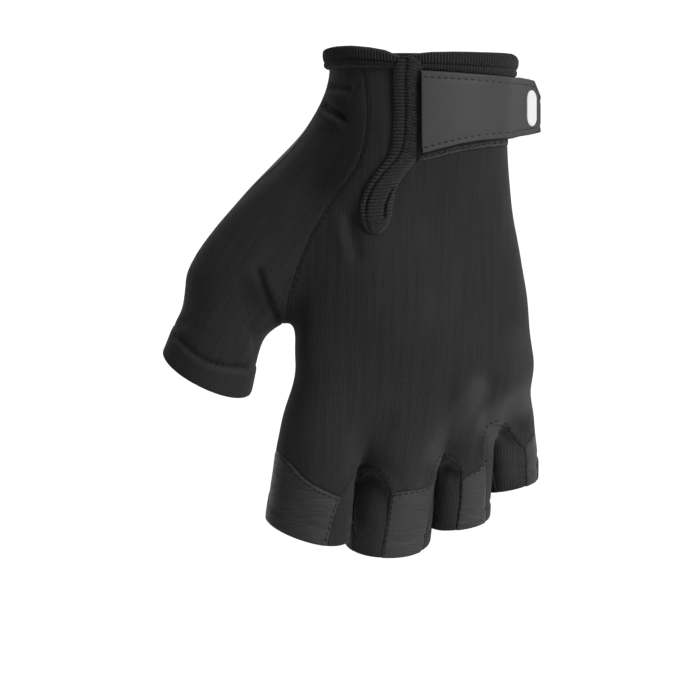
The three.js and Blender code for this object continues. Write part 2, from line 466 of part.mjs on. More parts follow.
// ---- bindings, tape, strap, pad and patch --------------------------------------
// ribbed binding round the wrist opening: an upside-down L over the raw edge
function cuff() {
  const N = 40, rings = [];
  for (let i = 0; i < N; i++) {
    const a = i / N * 2 * Math.PI, d = [Math.cos(a), Math.sin(a)];
    const reach = (level, z) => {
      let lo = 5, hi = 60;
      for (let k = 0; k < 26; k++) { const m = (lo + hi) / 2; if (bodyField([d[0] * m, 1 + d[1] * m, z]) < level) lo = m; else hi = m; }
      return [d[0] * lo, 1 + d[1] * lo];
    };
    const low = -2.2 - 2.6 * (0.5 + 0.5 * Math.cos(a));
    const section = [[BINDING.lip, low], [BINDING.out, low], [BINDING.out + 0.2, (low + BINDING.top) / 2], [BINDING.out - 0.4, BINDING.top], [-WALL + 0.2, BINDING.top], [-WALL, WRIST_TOP + SEAM], [BINDING.lip, WRIST_TOP + SEAM]];
    rings.push(section.map(([h, z]) => [...reach(h, z), z]));
  }
  const m = rings[0].length, faces = [];
  for (let r = 0; r < N; r++) for (let i = 0; i < m; i++) {
    const j = (i + 1) % m, a = r * m + i, b = r * m + j, c = ((r + 1) % N) * m + j, e = ((r + 1) % N) * m + i;
    faces.push(a, b, c, a, c, e);
  }
  const made = solid(rings.flat(2), faces);
  return made.volume() < 0 ? solid(rings.flat(2), faces.map((_, i) => faces[i - (i % 3) + [0, 2, 1][i % 3]])) : made;
}
// ribbed tape: down the left edge of the slit, round its end and up under the strap
function tape() {
  const leg = (rows) => strip(rows.map((r) => [r.x, r.z]), rows.map((r) => r.width), TAPE.low, TAPE.high, 4);
  return all([leg(TAPE_LEFT), leg(TAPE_RIGHT), bend()]);
}
function bend() {
  const lowRows = [], highRows = [], N = 10;
  for (let i = 0; i <= N; i++) {
    const s = i / N, x = TAPE_BEND.x + (s * 2 - 1) * TAPE_BEND.half, lo = [], hi = [];
    const depth = TAPE_BEND.drop * Math.sqrt(Math.max(1 - (s * 2 - 1) ** 2, 0.02));
    for (let k = 0; k <= 3; k++) {
      const z = TAPE_BEND.z + 2 - k / 3 * depth;
      lo.push(above(x, z, TAPE.low)); hi.push(above(x, z, TAPE.high));
    }
    lowRows.push(lo); highRows.push(hi);
  }
  return sheet(lowRows, highRows);
}
// strap: on the wrist as far as onBackTo, then straight on past its side
function strapPoint(run, z, h) {
  const flat = STRAP.onBackTo - STRAP_START;
  const x = Math.min(STRAP_START + run, STRAP.onBackTo);
  const edge = above(x, z, h);
  if (run <= flat) return edge;
  const n = slopeOf(handField, onBack(x, -16));
  const d = unit([-n[1], n[0], 0]);
  return along(above(x, -16, h), d, (run - flat)).map((v, i) => (i === 2 ? z : v + (edge[i] - above(x, -16, h)[i]) * Math.max(0, 1 - (run - flat) / 8)));
}
function strap() {
  const grid = (h) => STRAP_ROWS.map((r) => {
    const row = [];
    for (let c = 0; c < STRAP.columns; c++) row.push(strapPoint(r.run, r.top + (r.low - r.top) * c / (STRAP.columns - 1), h));
    return row;
  });
  return sheet(grid(STRAP.low), grid(STRAP.high));
}
function pad() {
  const grid = (h) => PAD_ROWS.map((r) => [0, 0.33, 0.67, 1].map((c) => above(r.x, r.top + (r.low - r.top) * c, h)));
  return sheet(grid(TAPE.low), grid(TAPE.high - 0.1));
}
// plain rounded pill on the free end of the strap
function patch() {
  const run = STRAP_ROWS[STRAP_ROWS.length - 1].run - 4.6;
  const outline = [];
  for (let i = 0; i < 16; i++) {
    const a = i / 16 * 2 * Math.PI;
    outline.push([Math.cos(a) * PATCH.radius, Math.sin(a) * PATCH.radius + Math.sign(Math.sin(a) || 1) * (PATCH.half - PATCH.radius)]);
  }
  const ring = (h) => outline.map(([u, v]) => strapPoint(run + u, PATCH.z + v, h));
  const m = loft([ring(STRAP.high + SEAM), ring(STRAP.high + SEAM + PATCH.high)]);
  return m.volume() < 0 ? loft([ring(STRAP.high + SEAM + PATCH.high), ring(STRAP.high + SEAM)]) : m;
}

// ---- the scene -------------------------------------------------------------------
const FINISH = {
  back_knit: { color: 0x2b2b2d, roughness: 0.9, metalness: 0 },
  cap_cloth: { color: 0x414143, roughness: 0.7, metalness: 0 },
  palm_leather: { color: 0x1c1c1d, roughness: 0.62, metalness: 0 },
  ribbed_tape: { color: 0x1f1f21, roughness: 0.92, metalness: 0 },
  strap_rubber: { color: 0x505052, roughness: 0.6, metalness: 0 },
  loop_pile: { color: 0x252527, roughness: 0.95, metalness: 0 },
  patch_white: { color: 0xe8e8e8, roughness: 0.5, metalness: 0 },
};
const glove = new THREE.Group();
function toGeometry(manifold) {
  const mesh = manifold.getMesh(), g = new THREE.BufferGeometry();
  const p = new Float32Array(mesh.vertProperties.length / mesh.numProp * 3);
  for (let i = 0; i < p.length / 3; i++) for (let c = 0; c < 3; c++) p[i * 3 + c] = mesh.vertProperties[i * mesh.numProp + c];
  g.setAttribute("position", new THREE.BufferAttribute(p, 3));
  g.setIndex(Array.from(mesh.triVerts));
  return g;
}
// edges shorter than this are drawn together into one point
const SHORT = 0.05;
function tidied(manifold) {
  const g = toGeometry(manifold), p = g.attributes.position.array;
  let faces = [];
  for (let i = 0; i < g.index.count; i += 3) faces.push([g.index.array[i], g.index.array[i + 1], g.index.array[i + 2]]);
  const point = (v) => [p[v * 3], p[v * 3 + 1], p[v * 3 + 2]];
  const normal = (f, from, to) => { const q = f.map((v) => point(v === from ? to : v)); return cross(sub(q[1], q[0]), sub(q[2], q[0])); };
  for (let round = 0; round < 12; round++) {
    const around = new Map();
    faces.forEach((f, i) => f.forEach((v) => { if (!around.has(v)) around.set(v, []); around.get(v).push(i); }));
    const edges = [];
    for (const f of faces) for (let k = 0; k < 3; k++) {
      const a = f[k], b = f[(k + 1) % 3];
      if (a < b) { const l = Math.hypot(...sub(point(a), point(b))); if (l < SHORT) edges.push([l, a, b]); }
    }
    if (!edges.length) break;
    edges.sort((x, y) => x[0] - y[0]);
    const touched = new Set(), moved = new Map();
    for (const [, a, b] of edges) {
      const near = new Set([...around.get(a), ...around.get(b)].flatMap((i) => faces[i]));
      if ([...near].some((v) => touched.has(v))) continue;
      const ringA = new Set(around.get(a).flatMap((i) => faces[i])), ringB = new Set(around.get(b).flatMap((i) => faces[i]));
      const shared = [...ringA].filter((v) => v !== a && v !== b && ringB.has(v));
      if (shared.length !== 2) continue;
      const turns = (from, to) => around.get(from).some((i) => !faces[i].includes(to) && dot(normal(faces[i]), normal(faces[i], from, to)) < -1e-9);
      const [from, to] = !turns(b, a) ? [b, a] : !turns(a, b) ? [a, b] : [null, null];
      if (from === null) continue;
      near.forEach((v) => touched.add(v));
      moved.set(from, to);
    }
    if (!moved.size) break;
    faces = faces.map((f) => f.map((v) => moved.get(v) ?? v)).filter(([x, y, z]) => x !== y && y !== z && z !== x);
  }
  const used = [...new Set(faces.flat())], place = new Map(used.map((v, i) => [v, i]));
  return new wasm.Manifold(new wasm.Mesh({
    numProp: 3, vertProperties: Float32Array.from(used.flatMap(point)), triVerts: Uint32Array.from(faces.flat().map((v) => place.get(v))),
  }));
}
function addPiece(name, manifold, finish) {
  const g = toGeometry(largest(tidied(largest(tidied(manifold)))));
  g.computeVertexNormals();
  const piece = new THREE.Mesh(g, new THREE.MeshStandardMaterial(FINISH[finish]));
  piece.name = name;
  glove.add(piece);
}
addPiece("back_panel", named.back_panel, "back_knit");
addPiece("thumb_panel", named.thumb_panel, "back_knit");
addPiece("palm_panel", largest(palmPanel), "palm_leather");
for (const name of ORDER) addPiece(`${name}_cap`, named[`${name}_cap`], "cap_cloth");
for (const name of ["gusset_index_middle", "gusset_middle_ring", "gusset_ring_little"]) addPiece(name, named[name], "back_knit");
addPiece("cuff_binding", cuff(), "ribbed_tape");
addPiece("slit_binding", tape(), "ribbed_tape");
addPiece("closure_pad", pad(), "loop_pile");
addPiece("wrist_strap", strap(), "strap_rubber");
addPiece("strap_patch", patch(), "patch_white");

export default glove;
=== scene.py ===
import math

import bpy
import numpy as np
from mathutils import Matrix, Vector
from mathutils.bvhtree import BVHTree


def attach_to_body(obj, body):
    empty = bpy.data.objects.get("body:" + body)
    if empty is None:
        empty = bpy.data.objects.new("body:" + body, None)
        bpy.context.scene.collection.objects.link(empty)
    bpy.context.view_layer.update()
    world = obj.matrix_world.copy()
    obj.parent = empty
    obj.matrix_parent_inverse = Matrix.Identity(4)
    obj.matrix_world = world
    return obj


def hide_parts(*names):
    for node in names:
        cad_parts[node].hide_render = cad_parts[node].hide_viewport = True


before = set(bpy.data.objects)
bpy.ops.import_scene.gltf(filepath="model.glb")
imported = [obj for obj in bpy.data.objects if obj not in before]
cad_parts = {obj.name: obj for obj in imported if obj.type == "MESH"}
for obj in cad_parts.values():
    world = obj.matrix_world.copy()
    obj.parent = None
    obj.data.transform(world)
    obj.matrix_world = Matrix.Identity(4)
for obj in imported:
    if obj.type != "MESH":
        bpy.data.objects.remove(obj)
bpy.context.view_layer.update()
scene = bpy.context.scene
scene.view_settings.view_transform = "Standard"
scene.view_settings.look = "None"

MM = 0.001
# front view of the photograph: millimetres per pixel, and the pixel of the frame's origin
PX, PX_X, PX_Z = 0.33, 421.0, 60.0

# ---- camera, light, floor ----------------------------------------------------------
eye = bpy.data.cameras.new("camera")
eye.sensor_width = 36.0
eye.lens = 36.0 * 1490.0 / 231.0
eye.clip_end = 20.0
camera = bpy.data.objects.new("camera", eye)
camera.location = (-23.4 * MM, -1500 * MM, -95.7 * MM)
camera.rotation_euler = (math.radians(90), 0, 0)
scene.collection.objects.link(camera)
scene.camera = camera

world = bpy.data.worlds.new("studio")
world.use_nodes = True
world.node_tree.nodes["Background"].inputs[0].default_value = (1, 1, 1, 1)
world.node_tree.nodes["Background"].inputs[1].default_value = 0.06
scene.world = world


def area_light(name, at, towards, size, power, size_y=None):
    data = bpy.data.lights.new(name, "AREA")
    data.energy = power
    data.shape = "RECTANGLE"
    data.size = size
    data.size_y = size_y or size
    o = bpy.data.objects.new(name, data)
    o.location = at
    o.rotation_euler = (Vector(towards) - Vector(at)).to_track_quat("-Z", "Y").to_euler()
    scene.collection.objects.link(o)


area_light("key", (0.98, -0.88, 0.42), (0.0, 0.0, -0.09), 0.55, 13.5)
area_light("fill", (-0.6, -1.3, 0.0), (-0.02, 0.0, -0.09), 0.9, 0.4)
area_light("top", (0.35, -0.3, 1.0), (0.0, 0.0, -0.09), 0.6, 1.6)


def plain_material(name, colour, roughness, glow=0.0):
    m = bpy.data.materials.new(name)
    m.use_nodes = True
    b = m.node_tree.nodes["Principled BSDF"]
    b.inputs["Base Color"].default_value = (*colour, 1)
    b.inputs["Roughness"].default_value = roughness
    b.inputs["Specular IOR Level"].default_value = 0.1
    if glow:
        b.inputs["Emission Color"].default_value = (1, 1, 1, 1)
        b.inputs["Emission Strength"].default_value = glow
    return m


def stage_sheet(name, corners, m):
    data = bpy.data.meshes.new(name)
    data.from_pydata([tuple(c) for c in corners], [], [(0, 1, 2, 3)])
    o = bpy.data.objects.new(name, data)
    o.data.materials.append(m)
    scene.collection.objects.link(o)


stage_sheet("floor", [(-3, -3, -0.30), (3, -3, -0.30), (3, 0.8, -0.30), (-3, 0.8, -0.30)], plain_material("pale_floor", (0.82, 0.82, 0.82), 0.7))
stage_sheet("backdrop", [(-7, 2.3, -1.6), (7, 2.3, -1.6), (7, 2.3, 6.0), (-7, 2.3, 6.0)], plain_material("white_backdrop", (0.9, 0.9, 0.9), 0.9, 0.96))


# ---- small helpers -------------------------------------------------------------------
def smin(a, b, k):
    h = np.maximum(k - np.abs(a - b), 0) / k
    return np.minimum(a, b) - h * h * k / 4


def smax(a, b, k):
    return -smin(-a, -b, k)


def smooth(a, b, x):
    t = np.clip((x - a) / (b - a), 0, 1)
    return t * t * (3 - 2 * t)


def hermite(ts, vs, t):
    ts, vs = np.asarray(ts, float), np.asarray(vs, float)
    m = np.gradient(vs, ts)
    t = np.clip(t, ts[0], ts[-1])
    i = np.clip(np.searchsorted(ts, t, side="right") - 1, 0, len(ts) - 2)
    h = ts[i + 1] - ts[i]
    s = (t - ts[i]) / h
    return (2 * s**3 - 3 * s**2 + 1) * vs[i] + (s**3 - 2 * s**2 + s) * h * m[i] + (-2 * s**3 + 3 * s**2) * vs[i + 1] + (s**3 - s**2) * h * m[i + 1]


def unit(v):
    return v / np.maximum(np.linalg.norm(v, axis=-1, keepdims=True), 1e-12)


def photo(points):
    """Pixels of the photograph to x and z in millimetres."""
    q = np.array(points, float)
    return np.stack([(q[:, 0] - PX_X) * PX, (PX_Z - q[:, 1]) * PX], -1)


def spline(points, step=1.2):
    """Smooth line through points, at about that step."""
    q = np.array(points, float)
    s = np.r_[0, np.cumsum(np.linalg.norm(np.diff(q, axis=0), axis=1))]
    t = np.linspace(0, s[-1], max(2, int(s[-1] / step) + 1))
    return np.stack([hermite(s, q[:, k], t) for k in range(q.shape[1])], -1)


# ---- the hand form: millimetres, X to the little finger, Z up the forearm, -Y out of the back ----
# level, left edge, right edge, half depth, middle y, turn, squareness
PALM = [
    (14, -31.0, 31.0, 21.5, 1.0, 13, 2.15),
    (2, -30.0, 30.5, 21.5, 1.0, 13, 2.15),
    (-6, -29.2, 29.5, 21.0, 1.0, 13, 2.2),
    (-26, -29.5, 28.8, 20.0, 1.0, 14, 2.25),
    (-42, -32.0, 29.4, 19.0, 1.0, 15, 2.3),
    (-58, -36.0, 32.0, 18.0, 1.0, 16, 2.35),
    (-74, -39.5, 34.9, 17.2, 0.5, 17, 2.4),
    (-92, -41.1, 36.6, 16.6, 0.5, 18, 2.45),
    (-108, -41.1, 38.9, 15.6, 1.5, 19, 2.45),
    (-120, -43.0, 41.3, 13.6, 4.5, 20, 2.3),
    (-136, -45.0, 41.0, 10.0, 10.0, 21, 2.1),
]
# knuckle end of the palm: x, z
WEB = np.array([(-60, -112), (-45, -122), (-30, -131), (-16.5, -135.5), (-5, -134), (7, -131.5), (16, -128), (25, -122.5), (34, -114), (45, -100)], float)
# knuckle, end of the sleeve, slope of its end, rows of share, half width, half depth
FINGERS = {
    "index": ((-32.0, -8.0, -112.0), (-37.6, -4.0, -154.3), (-0.306, 0.37), [(-0.3, 3.0, 3.5), (-0.05, 8.5, 9.0), (0.25, 12.4, 12.2), (0.6, 13.7, 12.6), (1.0, 14.2, 12.8), (1.25, 14.2, 13)]),
    "middle": ((-5.5, -2.0, -112.0), (-10.8, 11.0, -159.4), (0.0, 0.47), [(-0.3, 3.0, 3.5), (-0.05, 8.5, 9.0), (0.25, 12.4, 12.0), (0.6, 13.7, 12.6), (1.0, 14.2, 12.6), (1.25, 14.2, 12.8)]),
    "ring": ((15.5, 6.0, -110.0), (12.4, 20.5, -152.8), (0.12, 0.30), [(-0.3, 2.5, 3.0), (-0.05, 6.5, 7.0), (0.25, 9.9, 10.6), (0.6, 10.8, 11.2), (1.0, 11.2, 11.4), (1.25, 11.2, 11.5)]),
    "little": ((28.4, 15.0, -104.0), (30.0, 31.0, -141.2), (0.21, 0.20), [(-0.3, 2.0, 2.5), (-0.05, 5.5, 6.0), (0.3, 9.3, 9.8), (0.6, 10.1, 10.4), (1.0, 10.1, 10.4), (1.25, 10.1, 10.4)]),
}
ORDER = ["index", "middle", "ring", "little"]
THUMB_START, THUMB_AXIS = (-14, 3, -8), (-0.5026, 0, -0.8645)
# way along, outer side, inner side, y, half depth
THUMB = [
    (0, -9.0, 8.0, 0, 12), (19.3, -13.2, 13.0, 0.6, 15), (29.5, -14.6, 16.0, 0.8, 15.8), (40.7, -17.0, 18.5, 1.2, 16.2), (53.3, -20.4, 19.5, 2.4, 16.2),
    (69.4, -23.6, 16.6, 3.8, 15.8), (80, -24.0, 13.2, 5.0, 15.0), (86, -23.2, 10.8, 5.4, 14.6), (91.4, -20.9, 9.4, 5.8, 14.2), (96, -19.2, 10.0, 6.2, 14.0),
    (103, -18.6, 12.4, 6.6, 13.8), (111, -17.5, 14.9, 7.0, 13.8), (128, -17.0, 15.0, 7.4, 13.6),
]
THUMB_END = ((-70.6, -4, -102.6), (-0.50, 0.45))
# y of the side seam between back and palm, by z and x
BORDER_X = [-95, -58, -47, 0, 46]
BORDER = [
    (15, (-6, -6, -6, 1, 11.5)), (-24, (-3, -3, -4, 1, 12)), (-43, (-1, -2, -2, 1, 13)), (-68, (-2, -2, -1, 1, 14)),
    (-84, (-4, -3, -1, 1, 15)), (-100, (-5, -5, -3, 2, 17)), (-125, (-6, -7, -7, 8, 25)), (-180, (-6, -7, -7.5, 16, 38)),
]


class Stack:
    """Rounded sections along an axis, as a field that is negative inside. Rows: way, across, deep, half width, half depth, turn, squareness."""

    def __init__(self, origin, w, u, rows):
        self.o = np.array(origin, float)
        self.w = unit(np.array(w, float))
        u = np.array(u, float)
        self.u = unit(u - self.w * np.dot(u, self.w))
        self.v = np.cross(self.w, self.u)
        r = np.array(rows, float)
        self.t0, self.t1 = r[0, 0], r[-1, 0]
        self.tt = np.arange(self.t0, self.t1 + 0.25, 0.5)
        self.cols = [hermite(r[:, 0], r[:, k], self.tt) for k in range(1, 7)]

    def __call__(self, p, cap=6.0):
        q = p - self.o
        t = q @ self.w
        cu, cv, A, B, roll, n = [np.interp(t, self.tt, c) for c in self.cols]
        a, b = q @ self.u - cu, q @ self.v - cv
        c, s = np.cos(np.radians(roll)), np.sin(np.radians(roll))
        ax, ay = np.abs(a * c + b * s) / A, np.abs(-a * s + b * c) / B
        r = (ax**n + ay**n + 1e-12) ** (1 / n)
        k = r ** (n - 1) / np.sqrt((ax ** (n - 1) / A) ** 2 + (ay ** (n - 1) / B) ** 2 + 1e-12)
        f = (r - 1) * np.clip(k, np.minimum(A, B) * 0.8, np.maximum(A, B) * 1.2)
        return smax(smax(f, t - self.t1, cap), self.t0 - t, cap)


def palm_row(z, left, right, deep, y, turn, n):
    half, c, s = (right - left) / 2, math.cos(math.radians(turn)), math.sin(math.radians(turn))
    return (-z, (left + right) / 2, -y, math.sqrt(max(half * half - (deep * s) ** 2, 1)) / c, deep, -turn, n)


palm = Stack((0, 0, 0), (0, 0, -1), (1, 0, 0), [palm_row(*r) for r in PALM])
fingers = {}
for k, (a, b, _, rows) in FINGERS.items():
    long = math.dist(a, b)
    fingers[k] = Stack(a, np.array(b) - np.array(a), (1, 0, 0), [(s * long, 0, 0, hw, hd, 0, 2.1) for s, hw, hd in rows])
thumb = Stack(THUMB_START, THUMB_AXIS, (1, 0, 0), [(t, (o + i) / 2, y, (i - o) / 2, d, 0, 2.1) for t, o, i, y, d in THUMB])


def body(p, gap=0.25):
    """The hand form with its finger sleeves. gap is the slit between two sleeves."""
    f0 = smax(palm(p), np.interp(p[..., 0], WEB[:, 0], WEB[:, 1]) - p[..., 2], 12.0)
    g = [fingers[k](p) for k in ORDER]
    out = None
    for i in range(4):
        h = g[i]
        for j in (i - 1, i + 1):
            if 0 <= j < 4:
                h = smax(h, (g[i] - g[j]) / 2 + gap / 2, 2.2)
        h = smin(f0, h, 7.0)
        out = h if out is None else np.minimum(out, h)
    return smin(out, thumb(p), 10.0)


def slope(f, p, e=0.15):
    """Unit gradient of a field by a tetrahedron of samples, and the field there."""
    k = np.array([(1, -1, -1), (-1, -1, 1), (-1, 1, -1), (1, 1, 1)], float)
    vals = [f(p + e * d) for d in k]
    g = sum(v[..., None] * d for v, d in zip(vals, k)) / (4 * e)
    return g, sum(vals) / 4


# ---- surface of the field ----------------------------------------------------------------
def surface(f, low, high, cell):
    n = (np.ceil((np.array(high) - low) / (3 * cell)).astype(int)) * 3 + 1
    axes = [low[k] + np.arange(n[k]) * cell for k in range(3)]
    coarse = [a[1::3] for a in axes]
    C = np.stack(np.meshgrid(*coarse, indexing="ij"), -1)
    fc = f(C.reshape(-1, 3)).reshape(C.shape[:3])
    grid = np.repeat(np.repeat(np.repeat(fc, 3, 0), 3, 1), 3, 2)
    grid = np.pad(grid, [(0, n[k] - grid.shape[k]) for k in range(3)], mode="edge")
    near = np.abs(grid) < 6.2 * cell
    idx = np.argwhere(near)
    pts = np.stack([axes[k][idx[:, k]] for k in range(3)], -1)
    vals = np.concatenate([f(c) for c in np.array_split(pts, max(1, len(pts) // 60000))])
    grid[near] = vals
    s = (grid < 0).astype(np.int8)
    total = sum(s[i : n[0] - 1 + i, j : n[1] - 1 + j, k : n[2] - 1 + k] for i in (0, 1) for j in (0, 1) for k in (0, 1))
    cells = np.argwhere((total > 0) & (total < 8))
    corner = np.array([(i, j, k) for i in (0, 1) for j in (0, 1) for k in (0, 1)])
    at = {tuple(c): grid[cells[:, 0] + c[0], cells[:, 1] + c[1], cells[:, 2] + c[2]] for c in corner}
    acc, cnt = np.zeros((len(cells), 3)), np.zeros(len(cells))
    for c in corner:
        for ax in range(3):
            if c[ax]:
                continue
            d = c.copy()
            d[ax] = 1
            va, vb = at[tuple(c)], at[tuple(d)]
            hit = (va < 0) != (vb < 0)
            t = np.where(hit, va / np.where(hit, va - vb, 1), 0)
            q = np.repeat(c[None].astype(float), len(cells), 0)
            q[:, ax] = t
            acc[hit] += q[hit]
            cnt[hit] += 1
    V = np.array(low) + (cells + acc / cnt[:, None]) * cell
    ids = -np.ones(tuple(n - 1), np.int64)
    ids[cells[:, 0], cells[:, 1], cells[:, 2]] = np.arange(len(cells))
    quads = []
    for ax in range(3):
        b, c = (ax + 1) % 3, (ax + 2) % 3
        sl = [slice(None)] * 3
        sl[ax] = slice(0, -1)
        a0 = s[tuple(sl)]
        sl[ax] = slice(1, None)
        a1 = s[tuple(sl)]
        e = np.argwhere(a0 != a1)
        e = e[(e[:, b] > 0) & (e[:, c] > 0) & (e[:, b] < n[b] - 1) & (e[:, c] < n[c] - 1)]
        q = []
        for db, dc in ((0, 0), (1, 0), (1, 1), (0, 1)):
            o = e.copy()
            o[:, b] -= db
            o[:, c] -= dc
            q.append(ids[o[:, 0], o[:, 1], o[:, 2]])
        q = np.stack(q, -1)
        inside_first = a0[e[:, 0], e[:, 1], e[:, 2]] == 1
        q[~inside_first] = q[~inside_first][:, ::-1]
        quads.append(q)
    Q = np.concatenate(quads)
    return V, Q[(Q >= 0).all(1)]


def edges_of(T):
    e = np.concatenate([T[:, [k, (k + 1) % T.shape[1]]] for k in range(T.shape[1])])
    e.sort(axis=1)
    return np.unique(e, axis=0)


def settled(V, Q, steps):
    """Vertices pulled onto the field and evened out along it; steps are (gap, relaxation) pairs."""
    E = edges_of(Q)
    deg = np.bincount(E.ravel(), minlength=len(V))[:, None]
    for gap, relax in steps:
        f = lambda p: body(p, gap)
        if relax:
            m = np.zeros_like(V)
            for k in range(3):
                m[:, k] = np.bincount(E[:, 0], V[E[:, 1], k], len(V)) + np.bincount(E[:, 1], V[E[:, 0], k], len(V))
            d = m / deg - V
            g, _ = slope(f, V)
            nrm = unit(g)
            V = V + relax * (d - nrm * (d * nrm).sum(1, keepdims=True))
        g, v = slope(f, V)
        gg = np.maximum((g * g).sum(1), 0.2)
        move = -g * (v / gg)[:, None]
        long = np.linalg.norm(move, axis=1, keepdims=True)
        V = V + move * np.minimum(1, 0.8 / np.maximum(long, 1e-9))
    return V


CELL = 1.1
base_V, base_Q = surface(lambda p: body(p, 2.6), (-100.0, -32.0, -178.0), (52.0, 58.0, 20.0), CELL)
base_V = settled(base_V, base_Q, [(2.6, 0.5), (2.0, 0.5), (1.4, 0.4), (0.8, 0.4), (0.25, 0.4), (0.25, 0.4), (0.25, 0.3), (0.25, 0.0)])
base_T = np.concatenate([base_Q[:, [0, 1, 2]], base_Q[:, [0, 2, 3]]])


# ---- where the panels meet, in the front view: x, z ------------------------------------
SEAM = {
    "thumb": [(-20.8, 8), (-19.6, -2), (-18.2, -10.2), (-17.8, -17.8), (-18.8, -27.1), (-21.8, -35.6), (-27.1, -42.9), (-32.3, -50.5), (-36.6, -58.1), (-39.9, -65.7), (-42.2, -72.6), (-43.9, -78.5), (-44.6, -84.2), (-45.9, -87.8)],
    "index_cap_top": [(-60, -122.5), (-53, -126.4), (-49.8, -127.6), (-46.2, -129.9), (-43.6, -132.7), (-38.3, -138.2), (-31.4, -142.2), (-26.1, -144.4)],
    "index_leg": [(-26.1, -144.5), (-28.1, -149.5), (-30.7, -159.4), (-33, -169), (-36, -182)],
    "index_arch": [(-26.1, -144.5), (-24.1, -142.2), (-21.4, -137.9), (-19.1, -135.8), (-16.5, -135.3), (-13.2, -136.4), (-11.2, -139.5), (-9.9, -142.9)],
    "middle_leg_in": [(-9.9, -142.9), (-10.6, -148.5), (-11.9, -156.8), (-13.2, -164.7), (-14.2, -171), (-15.6, -182)],
    "middle_cap_top": [(-9.9, -142.9), (-6.3, -142.4), (-2.6, -141.9), (1.7, -141.1), (4.6, -139.3)],
    "middle_leg": [(4.6, -139.3), (3, -148.5), (0.3, -161), (-0.7, -165.7), (-2, -171), (-4, -182)],
    "middle_arch": [(4.6, -139.3), (5.3, -135.3), (6.6, -132.3), (8.6, -131.2), (11.2, -132.3), (12.9, -135.3), (13.2, -137.9)],
    "ring_leg_in": [(13.2, -137.9), (12.9, -145.2), (11.6, -155.4), (10.8, -165), (9.5, -182)],
    "ring_cap_top": [(13.2, -137.9), (15.5, -137), (17.8, -136), (20.2, -133.9), (21.4, -131.7)],
    "ring_leg": [(21.4, -131.7), (21.4, -145.2), (21.1, -157.1), (20.6, -182)],
    "ring_arch": [(21.4, -131.7), (21.6, -127.1), (22.1, -124.1), (23.4, -121.4), (25.4, -120.5), (28.1, -121.1), (30, -123.8), (32, -126.4), (34.3, -128)],
    "little_leg_in": [(34.3, -128), (34.8, -132), (34.8, -137), (34.6, -142.2), (34.6, -147.2), (34.4, -182)],
    "little_cap_top": [(34.3, -128), (36.3, -125.4), (37.6, -123.1), (38.3, -121.1), (39.6, -117.2), (42, -110), (60, -106)],
}
LINE = {k: spline(v) for k, v in SEAM.items()}


def closed(*parts):
    return np.concatenate([np.array(p, float).reshape(-1, 2) for p in parts])


ZONE = {
    "thumb_panel": closed(LINE["thumb"], [(-47, -92), (-48, -125), (-110, -125), (-110, 8)]),
    "index_cap": closed(LINE["index_cap_top"], LINE["index_leg"], [(-80, -182), (-80, -122)]),
    "middle_cap": closed(LINE["middle_cap_top"], LINE["middle_leg"], LINE["middle_leg_in"][::-1]),
    "ring_cap": closed(LINE["ring_cap_top"], LINE["ring_leg"], LINE["ring_leg_in"][::-1]),
    "little_cap": closed(LINE["little_cap_top"], [(60, -182)], LINE["little_leg_in"][::-1]),
    "gusset_index_middle": closed(LINE["index_leg"][::-1], LINE["index_arch"], LINE["middle_leg_in"]),
    "gusset_middle_ring": closed(LINE["middle_leg"][::-1], LINE["middle_arch"], LINE["ring_leg_in"]),
    "gusset_ring_little": closed(LINE["ring_leg"][::-1], LINE["ring_arch"], LINE["little_leg_in"]),
}


def line_distance(q, line):
    """Distance of points from a line, and the unit way away from it."""
    best, way = np.full(len(q), 1e9), np.zeros_like(q)
    for a, b in zip(line[:-1], line[1:]):
        d = b - a
        t = np.clip(((q - a) @ d) / max(d @ d, 1e-9), 0, 1)
        off = q - (a + t[:, None] * d)
        dist = np.linalg.norm(off, axis=1)
        hit = dist < best
        best[hit] = dist[hit]
        way[hit] = off[hit]
    return best, unit(way)


def zone_distance(q, poly):
    """Distance inside a zone's outline, negative outside it, and its unit gradient."""
    ring = np.concatenate([poly, poly[:1]])
    d, way = line_distance(q, ring)
    inside = np.zeros(len(q), bool)
    for a, b in zip(ring[:-1], ring[1:]):
        if a[1] == b[1]:
            continue
        span = (a[1] > q[:, 1]) != (b[1] > q[:, 1])
        x = a[0] + (q[:, 1] - a[1]) * (b[0] - a[0]) / (b[1] - a[1])
        inside ^= span & (q[:, 0] < x)
    sign = np.where(inside, 1.0, -1.0)
    return d * sign, way * sign[:, None]


def front(p):
    """x and z as the camera sees them, at the reference depth of the photograph."""
    k = 1490.0 / (1500.0 + p[:, 1])
    return np.stack([-23.4 + (p[:, 0] + 23.4) * k, -95.7 + (p[:, 2] + 95.7) * k], 1)


border_z = np.array([r[0] for r in BORDER][::-1], float)
border_y = np.array([r[1] for r in BORDER][::-1], float)


def border(p):
    """y behind the side seam: positive on the palm side."""
    cols = np.stack([np.interp(p[:, 2], border_z, border_y[:, k]) for k in range(5)], 1)
    x = np.clip(p[:, 0], BORDER_X[0], BORDER_X[-1])
    i = np.clip(np.searchsorted(BORDER_X, x, side="right") - 1, 0, 3)
    bx = np.array(BORDER_X, float)
    t = (x - bx[i]) / (bx[i + 1] - bx[i])
    rows = np.arange(len(p))
    return p[:, 1] - (cols[rows, i] * (1 - t) + cols[rows, i + 1] * t)


